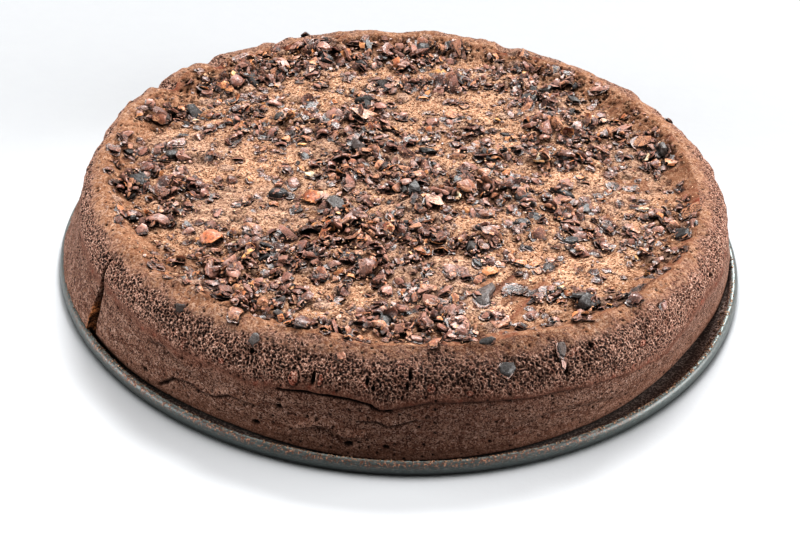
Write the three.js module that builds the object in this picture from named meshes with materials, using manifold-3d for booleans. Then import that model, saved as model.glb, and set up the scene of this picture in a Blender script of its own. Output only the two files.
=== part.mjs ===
// A whole flourless chocolate cake on the loose metal base of the tin it was baked in. The cake has a soft
// rounded shoulder, a raised uneven collar, a sunken top and broken cacao nibs baked into that top.
// Millimetres, +Z up. The origin is the middle of the underside of the tin base, and the side that faces
// -Y is the front. Angles are in degrees, anticlockwise from +X seen from above.
import * as THREE from "three";
import { mergeVertices } from "three/addons/utils/BufferGeometryUtils.js";
import Module from "manifold-3d";

// ---- driving dimensions -------------------------------------------------------------------------

// The tin base.
const TIN_RADIUS = 130; // outer edge of the rolled rim
const TIN_SHEET = 1.2; // floor thickness
const TIN_FLAT_RADIUS = 121; // where the floor starts to turn up
const TIN_BEAD_RADIUS = 1.5; // rolled edge, a round bead
const TIN_BEAD_HEIGHT = 4.4; // height of the bead's middle
const TIN_BEAD_ARC = [-80, 190]; // where the bead's round starts and ends
const TIN_BEAD_STEPS = 5;
const TIN_SEGMENTS = 88;

// The cake's section.
const CAKE_HEIGHT = 38.2; // mean height of the collar's crest above the table
const WALL_TOP = 25.5; // where the wall starts to round over into the shoulder
const PLATEAU_HEIGHT = 34.2; // mean height of the sunken top
const FLOOR_GAP = 0.05; // air under the cake
const RIM_GAP = 0.35; // air between the cake's foot and the tin's rim
const CHORD_DROP = 0.7; // the rim curves in this much higher than the straight stretch between two rings
const FOOT_TUCK = 1.6; // the underside's edge lies this far inside the foot
const FOOT_RINGS = [3.4, 5, 6.8]; // heights of the rings at the foot
const WALL_RINGS = [
  [13, 0.35],
  [19.5, 0.75],
  [23.3, 0.95],
]; // [height, share of the way from the foot's radius to the waist's]
const SHOULDER_STEPS = 5;
const SHOULDER_LEAD = 0.6; // share of a step by which the shoulder's first ring is up the arc
const COLLAR_FALL = 0.48; // how far the collar has sunk halfway in to the plateau
const PLATEAU_RINGS = [0.8, 0.58, 0.36, 0.16];
const CAKE_SEGMENTS = 80;

// Radii measured every 30 degrees, starting at +X.
const FOOT_RADIUS = [127.2, 126.4, 125.6, 125, 125.6, 126.6, 127.2, 126.2, 122, 124.4, 121.9, 120.4];
const WAIST_RADIUS = [122.8, 119.8, 118.8, 118.8, 121.4, 122.2, 120.4, 121.4, 122.8, 124.6, 124, 123.4];
const CREST_RADIUS = [110.5, 107.5, 106, 105.5, 108.4, 110.8, 111, 110.5, 108.5, 107.5, 110, 112.5];
const PLATEAU_RADIUS = [105, 99, 93, 89, 90.5, 96, 102, 101.5, 99.5, 99, 102, 106];

// The crest's height goes up and down round the collar.
const CREST_WAVE = 0.5;
const CREST_WAVES_ROUND = 5;

// Pinches in the collar, where the batter rose in separate puffs: [angle, depth].
const PINCHES = [
  [149, 3.4],
  [136, 2.8],
  [119, 2.6],
  [68, 1.8],
  [34, 0.9],
  [11, 0.8],
  [170, 1.2],
];
const PINCH_WIDTH = 3.2; // degrees from the middle of a pinch to where it has faded

// The upright fold on the left, where the wall overlaps itself.
const FOLD_TOP_ANGLE = -149.5;
const FOLD_FOOT_ANGLE = -149;
const FOLD_STEP = 2.6; // how far the flap stands out at its foot
const FOLD_FADE = 48; // degrees over which the flap sinks back into the wall
const SLIT_WIDTH = 1.5;
const SLIT_DEPTH = 3.2;
const SLIT_TOP = WALL_TOP + 6;
const SLIT_OVERRUN = 2; // how far the cutter passes each end of the slit

// The level crease round the front.
const CREASE_FROM = -106;
const CREASE_TO = -34;
const CREASE_DEPTH = 0.9;
const CREASE_FADE = 8; // degrees over which each end fades
const CREASE_LIP = 1.6; // height of the lip that overhangs the crease

// Low swells of the sunken top: [height, wave length along x, wave length along y].
const SWELLS = [
  [0.5, 107, 132],
  [0.35, 52, 68],
];

// Drifts of nibs on the top: [x, y, spread along x, spread along y, weight].
const DRIFTS = [
  [-20, 29, 12, 13, 1.0],
  [-22, 8, 12, 10, 0.7],
  [-21, -28, 17, 13, 0.8],
  [-16, -56, 15, 9, 1.0],
  [-61, -60, 10, 9, 0.9],
  [-48, -75, 12, 6, 0.9],
  [-12, -88, 22, 6, 0.9],
  [-90, -12, 8, 24, 0.7],
  [-68, 70, 8, 9, 0.7],
  [-36, 84, 13, 7, 0.8],
  [2, 88, 10, 7, 0.7],
  [60, 40, 11, 8, 0.7],
  [66, 22, 15, 8, 0.7],
  [104, -18, 7, 14, 0.6],
  [34, -14, 20, 9, 0.7],
  [70, -78, 18, 8, 0.5],
];
const THIN_SCATTER = 0.16; // weight of the even scatter between the drifts
const HEAP_RISE = 1.1; // how far the thickest drift lifts the top

// The scattered nibs.
const NIB_COUNT = 196;
const NIB_REACH = 113; // no nib lies further out
const NIB_LENGTH = [4.2, 8.6];
const NIB_WIDTH_SHARE = [0.55, 0.85]; // of its length
const NIB_THICKNESS_SHARE = [0.3, 0.55]; // of its length
const NIB_PITCH = 20; // degrees, either way
const NIB_SPACING = 0.56; // share of two nibs' lengths that their middles stay apart
const NIB_SUNK = 0.14; // share of its thickness by which a nib's middle is above the top
const NIB_KNOCK = 0.18; // share by which a nib's corners are knocked in or out
const NIB_SEED = 20451;
const NIB_ATTEMPTS = 400;
const LUMP_LENGTH = 7; // longer nibs are many-sided lumps, and shorter ones are chips
const LUMP_RADIUS = 0.55; // of a lump of length 1
const CHIP_SIDE = 0.8; // of a chip of length 1

// Nibs that stand out: [x, y, length, width, thickness, heading in degrees, pitch in degrees].
const LARGE_NIBS = [
  [29, -72, 11, 8, 2.4, 40, 12],
  [-11, -63, 9, 6, 4.2, 20, 5],
  [64, -80, 8, 4.6, 3.4, 10, 8],
  [-18, -27, 8, 7, 5.4, 70, 0],
  [-86, 40, 9, 5, 2.6, -20, 15],
  [-94, 32, 9, 6, 2.4, 60, 20],
  [42, -17, 9, 4, 2.2, -10, 6],
  [4, -91, 7, 4.6, 3.2, 85, 10],
  [33, -91, 9, 7, 2.2, 25, -12],
  [52, 58, 8, 6, 2.6, 5, 10],
  [30, -34, 8, 6, 3, 100, 20],
  [-20, 34, 10, 6, 3, -30, 25],
];

// Nibs set in the outer shoulder: [angle, turn up the shoulder in degrees, length, width, thickness].
const SHOULDER_NIBS = [
  [-72.5, 40, 6, 5.6, 3.6],
  [-61, 50, 6.4, 3.2, 2.6],
  [-101, 46, 5.4, 3.6, 2.4],
];

// ---- small helpers ------------------------------------------------------------------------------

const radians = THREE.MathUtils.degToRad;

/** The smallest turn in degrees from one angle to another, between -180 and 180. */
function turn(from, to) {
  return THREE.MathUtils.euclideanModulo(to - from + 180, 360) - 180;
}

/** A smooth closed curve through evenly spaced values round the circle. */
function roundValue(values, angle) {
  const place = (THREE.MathUtils.euclideanModulo(angle, 360) / 360) * values.length;
  const index = Math.floor(place);
  const at = (step) => values[(index + step + values.length) % values.length];
  const t = place - index;
  const slopeIn = (at(1) - at(-1)) / 2;
  const slopeOut = (at(2) - at(0)) / 2;
  const t2 = t * t;
  const t3 = t2 * t;
  return (
    at(0) * (2 * t3 - 3 * t2 + 1) + slopeIn * (t3 - 2 * t2 + t) + at(1) * (3 * t2 - 2 * t3) + slopeOut * (t3 - t2)
  );
}

/** A bump of height 1 that falls smoothly to 0 at the given width. */
function bump(distance, width) {
  const t = THREE.MathUtils.clamp(Math.abs(distance) / width, 0, 1);
  return 1 - t * t * (3 - 2 * t);
}

/** Seeded random numbers from 0 to 1. */
function randomFrom(seed) {
  let state = seed >>> 0;
  return () => {
    state = (state + 0x6d2b79f5) >>> 0;
    let mixed = Math.imul(state ^ (state >>> 15), state | 1);
    mixed ^= mixed + Math.imul(mixed ^ (mixed >>> 7), mixed | 61);
    return ((mixed ^ (mixed >>> 14)) >>> 0) / 4294967296;
  };
}

// ---- the tin base -------------------------------------------------------------------------------

const BEAD_MIDDLE = TIN_RADIUS - TIN_BEAD_RADIUS;
const BEAD_TOP = TIN_BEAD_HEIGHT + TIN_BEAD_RADIUS;
const TURN_UP_WIDTH = BEAD_MIDDLE - TIN_FLAT_RADIUS;

/** A point of the sheet's upper face, at a share of the way from the flat floor to the bead's middle. */
function turnUp(share, drop = 0) {
  return [
    TIN_FLAT_RADIUS + TURN_UP_WIDTH * share,
    TIN_SHEET + (TIN_BEAD_HEIGHT - TIN_SHEET) * share * share - drop,
  ];
}

/** The radius of the rim's inner face at a height. */
function rimInnerRadius(height) {
  const share = Math.sqrt(Math.max(0, (height - TIN_SHEET) / (TIN_BEAD_HEIGHT - TIN_SHEET)));
  return Math.min(TIN_FLAT_RADIUS + TURN_UP_WIDTH * share, BEAD_MIDDLE - TIN_BEAD_RADIUS);
}

/** The tin base's section: a flat floor that curls up into a rolled bead. */
function tinSection() {
  const points = [[0, 0], turnUp(0, TIN_SHEET), turnUp(0.5, TIN_SHEET), turnUp(0.8, TIN_SHEET)];
  for (let step = 0; step <= TIN_BEAD_STEPS; step++) {
    const turned = radians(THREE.MathUtils.lerp(...TIN_BEAD_ARC, step / TIN_BEAD_STEPS));
    points.push([
      BEAD_MIDDLE + TIN_BEAD_RADIUS * Math.cos(turned),
      TIN_BEAD_HEIGHT + TIN_BEAD_RADIUS * Math.sin(turned),
    ]);
  }
  points.push(turnUp(0.62), turnUp(0.3), turnUp(0), [0, TIN_SHEET]);
  return points;
}

// ---- the cake's form ----------------------------------------------------------------------------

/** How far the collar is pinched in at an angle. */
function pinch(angle) {
  return PINCHES.reduce((sum, [at, depth]) => sum + depth * bump(turn(at, angle), PINCH_WIDTH), 0);
}

/** How far the flap left of the upright fold stands out, at an angle and a height. */
function foldStep(angle, height) {
  const foldAngle = THREE.MathUtils.mapLinear(height, WALL_TOP, TIN_SHEET, FOLD_TOP_ANGLE, FOLD_FOOT_ANGLE);
  const behind = turn(angle, foldAngle);
  if (behind < 0 || behind > FOLD_FADE) return 0;
  const sink = THREE.MathUtils.smoothstep(height, TIN_SHEET, CAKE_HEIGHT);
  return FOLD_STEP * (1 - sink) * (1 - behind / FOLD_FADE);
}

/** How deep the level crease under the porous upper band is at an angle. */
function creaseDepth(angle) {
  const inside = Math.min(turn(CREASE_FROM, angle), turn(angle, CREASE_TO));
  return CREASE_DEPTH * THREE.MathUtils.smoothstep(inside, 0, CREASE_FADE);
}

/** How thickly nibs lie at a place on the top. */
function driftWeight(x, y) {
  return DRIFTS.reduce((sum, [cx, cy, spreadX, spreadY, weight]) => {
    const away = ((x - cx) / spreadX) ** 2 + ((y - cy) / spreadY) ** 2;
    return sum + weight * Math.exp(-away / 2);
  }, 0);
}

/** How far the sunken top swells at a place, and more where the nibs lie thick. */
function swell(x, y) {
  const waves = SWELLS.reduce((sum, [height, lengthX, lengthY]) => {
    return sum + height * Math.sin((2 * Math.PI * x) / lengthX) * Math.cos((2 * Math.PI * y) / lengthY);
  }, 0);
  return waves + HEAP_RISE * Math.min(1, driftWeight(x, y));
}

/** The largest radius that stays clear of the tin's rim at a height. */
function clearOfRim(height) {
  if (height > BEAD_TOP) return BEAD_MIDDLE - RIM_GAP;
  return rimInnerRadius(height - CHORD_DROP) - RIM_GAP;
}

/** The cake's section at one angle, from the middle of its underside out and up to the middle of its top. */
function cakeSection(angle) {
  const floor = TIN_SHEET + FLOOR_GAP;
  const foot = roundValue(FOOT_RADIUS, angle);
  const waist = roundValue(WAIST_RADIUS, angle);
  const squeeze = pinch(angle);
  const crest = roundValue(CREST_RADIUS, angle) - squeeze * 0.5;
  const crestHeight = CAKE_HEIGHT + CREST_WAVE * Math.sin(radians(angle * CREST_WAVES_ROUND)) - squeeze * 0.6;
  const plateau = roundValue(PLATEAU_RADIUS, angle);
  const crease = creaseDepth(angle);
  const footRing = (height) => [Math.min(foot + foldStep(angle, height), clearOfRim(height)), height];
  const wallRing = (height, share) => [THREE.MathUtils.lerp(foot, waist, share) + foldStep(angle, height), height];
  const shoulderRing = (step) => {
    const lift = radians(90 * ((step + SHOULDER_LEAD) / (SHOULDER_STEPS + SHOULDER_LEAD)));
    const reach = waist - crest - squeeze * 0.7 + foldStep(angle, SLIT_TOP);
    return [crest + reach * Math.cos(lift), WALL_TOP + (crestHeight - WALL_TOP) * Math.sin(lift)];
  };
  const topRing = (radius) => {
    return [radius, PLATEAU_HEIGHT + swell(radius * Math.cos(radians(angle)), radius * Math.sin(radians(angle)))];
  };
  return [
    [0, floor],
    [TIN_FLAT_RADIUS - FOOT_TUCK * 2, floor],
    [Math.min(foot - FOOT_TUCK, TIN_FLAT_RADIUS - RIM_GAP), floor],
    ...FOOT_RINGS.map(footRing),
    ...WALL_RINGS.map((ring) => wallRing(...ring)),
    [wallRing(WALL_TOP, 1)[0] - crease, WALL_TOP],
    [wallRing(WALL_TOP + CREASE_LIP, 1)[0] + crease / 4, WALL_TOP + CREASE_LIP],
    ...Array.from({ length: SHOULDER_STEPS }, (_, step) => shoulderRing(step + 1)),
    [(crest + plateau) / 2, THREE.MathUtils.lerp(crestHeight, PLATEAU_HEIGHT, COLLAR_FALL)],
    ...[1, ...PLATEAU_RINGS].map((share) => topRing(plateau * share)),
    topRing(0),
  ];
}

/** The height of the top at a place inside the crest. */
function topHeight(x, y) {
  const radius = Math.hypot(x, y);
  const section = cakeSection(THREE.MathUtils.radToDeg(Math.atan2(y, x)));
  for (let i = section.length - 1; i > 0; i--) {
    const [inner, innerHeight] = section[i];
    const [outer, outerHeight] = section[i - 1];
    if (radius <= outer || outer < inner) {
      return THREE.MathUtils.mapLinear(Math.min(radius, outer), inner, outer, innerHeight, outerHeight);
    }
  }
  return PLATEAU_HEIGHT;
}

/** A closed surface turned from sections that change with the angle. */
function turnedSurface(sectionAt, segments) {
  const outline = sectionAt(0).map(([radius, height]) => new THREE.Vector2(radius, height));
  const geometry = new THREE.LatheGeometry(outline, segments);
  const position = geometry.getAttribute("position");
  for (let segment = 0; segment <= segments; segment++) {
    const angle = ((segment % segments) / segments) * 360;
    sectionAt(angle).forEach(([radius, height], row) => {
      position.setXYZ(
        segment * outline.length + row,
        radius * Math.cos(radians(angle)),
        radius * Math.sin(radians(angle)),
        height,
      );
    });
  }
  return geometry;
}

// ---- joining and cutting ------------------------------------------------------------------------

const wasm = await Module();
wasm.setup();

/** A closed geometry as a solid that can be joined and cut. */
function solidFrom(geometry) {
  const bare = geometry.clone();
  bare.deleteAttribute("normal");
  bare.deleteAttribute("uv");
  const merged = mergeVertices(bare, 1e-4);
  return new wasm.Manifold(
    new wasm.Mesh({
      numProp: 3,
      vertProperties: new Float32Array(merged.getAttribute("position").array),
      triVerts: new Uint32Array(merged.index.array),
    }),
  );
}

/** A solid as a geometry. */
function geometryFrom(solid) {
  const mesh = solid.getMesh();
  const geometry = new THREE.BufferGeometry();
  geometry.setAttribute("position", new THREE.BufferAttribute(new Float32Array(mesh.vertProperties), 3));
  geometry.setIndex(new THREE.BufferAttribute(new Uint32Array(mesh.triVerts), 1));
  geometry.computeVertexNormals();
  return geometry;
}

/** The largest of the bodies that a join or cut has left. */
function largestBody(solid) {
  return solid.decompose().reduce((best, body) => (body.volume() > best.volume() ? body : best));
}

// ---- nibs ---------------------------------------------------------------------------------------

/** One broken nib: a squashed lump with its corners knocked about, many-sided if large and a chip if small. */
function nibGeometry(length, width, thickness, random) {
  const isLump = length > LUMP_LENGTH;
  const plain = isLump
    ? new THREE.IcosahedronGeometry(LUMP_RADIUS, 0)
    : new THREE.BoxGeometry(CHIP_SIDE, CHIP_SIDE, CHIP_SIDE);
  const geometry = mergeVertices(plain.deleteAttribute("normal").deleteAttribute("uv"), 1e-4);
  const position = geometry.getAttribute("position");
  for (let i = 0; i < position.count; i++) {
    const knock = 1 + NIB_KNOCK * (2 * random() - 1);
    position.setXYZ(i, position.getX(i) * knock, position.getY(i) * knock, position.getZ(i) * knock);
  }
  return geometry.scale(length, width, thickness);
}

/** A nib laid on the top, half sunk, with the given heading and pitch. */
function nibOnTop(x, y, length, width, thickness, heading, pitch, random) {
  return nibGeometry(length, width, thickness, random)
    .applyMatrix4(new THREE.Matrix4().makeRotationY(radians(pitch)))
    .applyMatrix4(new THREE.Matrix4().makeRotationZ(radians(heading)))
    .translate(x, y, topHeight(x, y) + thickness * NIB_SUNK);
}

/** A nib set in the shoulder, facing out. */
function nibOnShoulder(angle, lift, length, width, thickness, random) {
  const crest = roundValue(CREST_RADIUS, angle);
  const waist = roundValue(WAIST_RADIUS, angle);
  const radius = crest + (waist - crest) * Math.cos(radians(lift));
  const height = WALL_TOP + (CAKE_HEIGHT - WALL_TOP) * Math.sin(radians(lift));
  return nibGeometry(length, width, thickness, random)
    .applyMatrix4(new THREE.Matrix4().makeRotationY(radians(90 - lift)))
    .applyMatrix4(new THREE.Matrix4().makeRotationZ(radians(angle)))
    .translate(radius * Math.cos(radians(angle)), radius * Math.sin(radians(angle)), height);
}

/** Every nib: the ones that stand out, by place, and then the scattered ones, the longest first. */
function allNibs() {
  const random = randomFrom(NIB_SEED);
  const within = ([low, high]) => THREE.MathUtils.lerp(low, high, random());
  const placed = LARGE_NIBS.map(([x, y, length]) => [x, y, length]);
  const nibs = LARGE_NIBS.map((nib) => nibOnTop(...nib, random));
  SHOULDER_NIBS.forEach((nib) => nibs.push(nibOnShoulder(...nib, random)));
  for (let i = 0; i < NIB_COUNT; i++) {
    const length = THREE.MathUtils.mapLinear(i, NIB_COUNT - 1, 0, ...NIB_LENGTH);
    for (let attempt = 0; attempt < NIB_ATTEMPTS; attempt++) {
      const angle = within([0, 360]);
      const radius = NIB_REACH * Math.sqrt(random());
      const x = radius * Math.cos(radians(angle));
      const y = radius * Math.sin(radians(angle));
      const isWanted = random() < driftWeight(x, y) + THIN_SCATTER && radius < roundValue(CREST_RADIUS, angle);
      const isFree = placed.every(([px, py, other]) => Math.hypot(x - px, y - py) > NIB_SPACING * (length + other));
      if (!isWanted || !isFree) continue;
      placed.push([x, y, length]);
      const width = length * within(NIB_WIDTH_SHARE);
      const thickness = length * within(NIB_THICKNESS_SHARE);
      nibs.push(nibOnTop(x, y, length, width, thickness, within([0, 360]), within([-NIB_PITCH, NIB_PITCH]), random));
      break;
    }
  }
  return nibs;
}

// ---- the pieces ---------------------------------------------------------------------------------

/** The cutter for the dark slit under the flap of the upright fold, a wedge that leans with the fold. */
function foldSlit() {
  const outline = new THREE.Shape([
    new THREE.Vector2(-SLIT_DEPTH, 0),
    new THREE.Vector2(SLIT_DEPTH * 2, -SLIT_WIDTH),
    new THREE.Vector2(SLIT_DEPTH * 2, SLIT_WIDTH),
  ]);
  const depth = SLIT_TOP - TIN_SHEET + SLIT_OVERRUN * 2;
  const lean = Math.atan2(radians(FOLD_TOP_ANGLE - FOLD_FOOT_ANGLE) * TIN_FLAT_RADIUS, depth);
  return new THREE.ExtrudeGeometry(outline, { depth, bevelEnabled: false })
    .applyMatrix4(new THREE.Matrix4().makeRotationX(-lean))
    .translate(roundValue(WAIST_RADIUS, FOLD_FOOT_ANGLE), 0, TIN_SHEET - SLIT_OVERRUN)
    .applyMatrix4(new THREE.Matrix4().makeRotationZ(radians(FOLD_FOOT_ANGLE)));
}

/** The cake: its core with the slit cut and the nibs joined on. */
function makeCake() {
  const core = solidFrom(turnedSurface(cakeSection, CAKE_SEGMENTS)).subtract(solidFrom(foldSlit()));
  const nibs = wasm.Manifold.union(allNibs().map(solidFrom));
  const crust = new THREE.MeshStandardMaterial({ color: 0x6b4431, roughness: 0.85, metalness: 0 });
  const cake = new THREE.Mesh(geometryFrom(largestBody(core.add(nibs))), crust);
  cake.name = "cake";
  return cake;
}

/** The loose base of the tin. */
function makeTinBase() {
  const steel = new THREE.MeshStandardMaterial({ color: 0x4d5558, roughness: 0.45, metalness: 0.8 });
  const base = new THREE.Mesh(turnedSurface(tinSection, TIN_SEGMENTS), steel);
  base.name = "tin_base";
  return base;
}

const group = new THREE.Group();
group.add(makeTinBase());
group.add(makeCake());

export default group;
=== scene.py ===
"""A whole flourless chocolate cake on the loose metal base of its tin.

The cake has a soft rounded shoulder, a puffed collar, a sunken top and broken cacao nibs baked into that
top.  Inside the classes sizes are millimetres and angles are degrees anticlockwise from +X, seen from
above; they become metres where a mesh is written.  The side that faces -Y is the front.
"""

from __future__ import annotations

import itertools
import logging
import math
import random
from dataclasses import dataclass
from enum import Enum

import bmesh
import bpy
import numpy as np
from mathutils import Matrix, Vector, kdtree
from mathutils.bvhtree import BVHTree

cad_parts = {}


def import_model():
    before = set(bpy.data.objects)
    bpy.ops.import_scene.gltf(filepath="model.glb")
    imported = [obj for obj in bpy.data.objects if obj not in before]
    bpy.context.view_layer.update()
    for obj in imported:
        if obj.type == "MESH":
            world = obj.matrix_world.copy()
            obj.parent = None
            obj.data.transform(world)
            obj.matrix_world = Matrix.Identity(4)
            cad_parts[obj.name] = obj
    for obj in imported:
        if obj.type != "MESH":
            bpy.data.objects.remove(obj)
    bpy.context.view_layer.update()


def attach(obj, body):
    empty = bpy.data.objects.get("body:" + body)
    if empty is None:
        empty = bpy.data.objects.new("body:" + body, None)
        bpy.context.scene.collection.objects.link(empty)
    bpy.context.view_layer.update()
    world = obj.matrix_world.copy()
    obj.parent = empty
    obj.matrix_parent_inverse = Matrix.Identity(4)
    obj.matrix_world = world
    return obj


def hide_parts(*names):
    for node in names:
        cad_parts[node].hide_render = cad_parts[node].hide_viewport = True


LOG = logging.getLogger("cake")
MM = 0.001
BODY = "root"
Array = np.ndarray
Socket = bpy.types.NodeSocket
Edges = list[bmesh.types.BMEdge]
Colour = tuple[float, float, float]
Place = tuple[float, float, float]
Ring = tuple[float, ...]
Pairs = tuple[tuple[float, float], ...]
Spots = tuple[tuple[float, float, float, float], ...]
SCRAMBLE = np.array([73856093, 19349663, 83492791, 2654435761, 0x9E3779B97F4A7C15], np.uint64)
FAR = 4096.0  # keeps every place's cell number positive
NO_LIMIT = 1e3  # a radius that nothing reaches


# ---- small helpers ---------------------------------------------------------------------------------


def turn(start: float, angle: Array) -> Array:
    """The turn in degrees from start to angle, between -180 and 180."""
    return (np.asarray(angle) - start + 180.0) % 360.0 - 180.0


def ease(low: float, high: float, value: Array) -> Array:
    """A smooth step that goes from 0 at low to 1 at high."""
    share = np.clip((np.asarray(value, float) - low) / (high - low), 0.0, 1.0)
    return share * share * (3.0 - 2.0 * share)


def bump(distance: Array, width: float) -> Array:
    """A bump of height 1 that falls smoothly to 0 at the given width."""
    return 1.0 - ease(0.0, width, np.abs(distance))


def polar(points: Array) -> tuple[Array, Array]:
    """Each point's distance from the cake's axis, and its angle."""
    return np.hypot(points[:, 0], points[:, 1]), np.degrees(np.arctan2(points[:, 1], points[:, 0]))


def spot(radius: float | Array, angle: float) -> tuple[float | Array, float | Array]:
    """The x and y of a place at a radius and an angle."""
    return radius * math.cos(math.radians(angle)), radius * math.sin(math.radians(angle))


def round_value(values: Ring, angle: Array) -> Array:
    """A smooth closed curve through evenly spaced values round the circle.

    Args:
        values: The values, the first at +X.
        angle: Where to read the curve, in degrees.

    Returns:
        The curve's value at each angle.
    """
    table = np.asarray(values, float)
    place = (np.asarray(angle, float) % 360.0) / 360.0 * len(table)
    index = np.floor(place).astype(int)
    t = place - index
    before, here, after, beyond = (table[(index + step) % len(table)] for step in (-1, 0, 1, 2))
    slope_in, slope_out = (after - before) / 2.0, (beyond - here) / 2.0
    t2, t3 = t * t, t * t * t
    ends = here * (2 * t3 - 3 * t2 + 1) + slope_in * (t3 - 2 * t2 + t)
    return ends + after * (3 * t2 - 2 * t3) + slope_out * (t3 - t2)


def scrambled(corner: Array, seed: int) -> Array:
    """A random number from 0 to 1 for each whole-numbered corner."""
    mixed = corner[:, 0] * SCRAMBLE[0] ^ corner[:, 1] * SCRAMBLE[1] ^ corner[:, 2] * SCRAMBLE[2]
    mixed = (mixed + np.uint64(seed) * SCRAMBLE[3]) * SCRAMBLE[4]
    mixed = (mixed ^ (mixed >> np.uint64(29))) * SCRAMBLE[4]
    return ((mixed >> np.uint64(32)) & np.uint64(0xFFFFFF)).astype(float) / 0x1000000


def grain(points: Array, size: float, seed: int) -> Array:
    """Smooth noise at each point, between about -1 and 1.

    Args:
        points: Rows of x, y and z in millimetres.
        size: How large the features are, in millimetres.
        seed: Makes two uses differ.

    Returns:
        One value for each point.
    """
    place = np.asarray(points, float) / size + FAR
    cell = np.floor(place)
    part = place - cell
    soft = part * part * part * (part * (part * 6 - 15) + 10)
    total = np.zeros(len(place))
    for corner in itertools.product((0, 1), repeat=3):
        whole = (cell + corner).astype(np.uint64)
        slope = np.stack([scrambled(whole, 3 * seed + axis) for axis in range(3)], -1) * 2 - 1
        weight = np.prod(np.where(corner, soft, 1 - soft), axis=1)
        total += weight * np.sum(slope * (part - corner), axis=1)
    return 1.7 * total


def cells(points: Array, size: float, seed: int) -> tuple[Array, Array]:
    """How far each point is from the nearest and the second nearest of scattered middles, in cell sizes."""
    place = np.asarray(points, float) / size + FAR
    cell = np.floor(place)
    nearest, second = np.full(len(place), 9.0), np.full(len(place), 9.0)
    for corner in itertools.product((-1, 0, 1), repeat=3):
        here = cell + corner
        whole = here.astype(np.uint64)
        jitter = np.stack([scrambled(whole, 3 * seed + axis) for axis in range(3)], -1)
        away = np.linalg.norm(here + 0.1 + 0.8 * jitter - place, axis=1)
        second = np.minimum(second, np.maximum(nearest, away))
        nearest = np.minimum(nearest, away)
    return nearest, second


def put(name: str, data: bpy.types.ID) -> bpy.types.Object:
    """Adds an object to the scene, at the origin."""
    made = bpy.data.objects.new(name, data)
    bpy.context.scene.collection.objects.link(made)
    return made


def write_mesh(name: str, vertices: Array, faces: list[tuple[int, ...]]) -> bpy.types.Object:
    """Makes a smooth-shaded object from vertices in millimetres.

    Args:
        name: The piece's name.
        vertices: Rows of x, y and z.
        faces: Vertex numbers of each face.

    Returns:
        The new object, at the origin.
    """
    mesh = bpy.data.meshes.new(name)
    mesh.from_pydata((np.asarray(vertices, float) * MM).tolist(), [], faces)
    mesh.shade_smooth()
    return put(name, mesh)


def draw_out(bm: bmesh.types.BMesh, edges: Edges) -> tuple[Edges, list[bmesh.types.BMVert]]:
    """Draws a new ring out of an open edge, and returns the ring's own edges and its vertices."""
    drawn = bmesh.ops.extrude_edge_only(bm, edges=edges)["geom"]
    ring = [item for item in drawn if isinstance(item, bmesh.types.BMEdge) and item.is_boundary]
    return ring, [item for item in drawn if isinstance(item, bmesh.types.BMVert)]


def paint(piece: bpy.types.Object, name: str, values: Array) -> None:
    """Stores four numbers for each vertex under a name that a material can read."""
    layer = piece.data.attributes.new(name=name, type="FLOAT_COLOR", domain="POINT")
    layer.data.foreach_set("color", np.asarray(values, np.float32).ravel())


def dress(piece: bpy.types.Object, material: bpy.types.Material) -> None:
    """Gives a finished piece its material and its place on the cake's body."""
    piece.data.materials.append(material)
    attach(piece, BODY)


# ---- finishes --------------------------------------------------------------------------------------


class Graph:
    """A tree of nodes, built up socket by socket."""

    def __init__(self, owner: bpy.types.Material | bpy.types.World) -> None:
        """Starts from the nodes that a new material or sky has."""
        owner.use_nodes = True
        self.tree = owner.node_tree

    def node(self, kind: str, inputs: dict[str | int, object], **settings: object) -> bpy.types.Node:
        """Adds a node.

        Args:
            kind: The node's type.
            inputs: Values or sockets for its inputs, by name or number.
            **settings: The node's own properties.

        Returns:
            The new node.
        """
        made = self.tree.nodes.new(kind)
        for key, value in settings.items():
            setattr(made, key, value)
        self.feed(made, inputs)
        return made

    def feed(self, node: bpy.types.Node, inputs: dict[str | int, object]) -> None:
        """Links sockets to a node's inputs, and sets the inputs that are given as values."""
        for key, value in inputs.items():
            if isinstance(value, Socket):
                self.tree.links.new(value, node.inputs[key])
            else:
                node.inputs[key].default_value = value

    def sums(self, operation: str, first: object, second: object, clamp: bool = False) -> Socket:
        """The result of an operation on two numbers or sockets."""
        made = self.node("ShaderNodeMath", {0: first, 1: second}, operation=operation, use_clamp=clamp)
        return made.outputs[0]

    def times(self, first: object, second: object) -> Socket:
        """Two numbers or sockets multiplied."""
        return self.sums("MULTIPLY", first, second)


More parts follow.
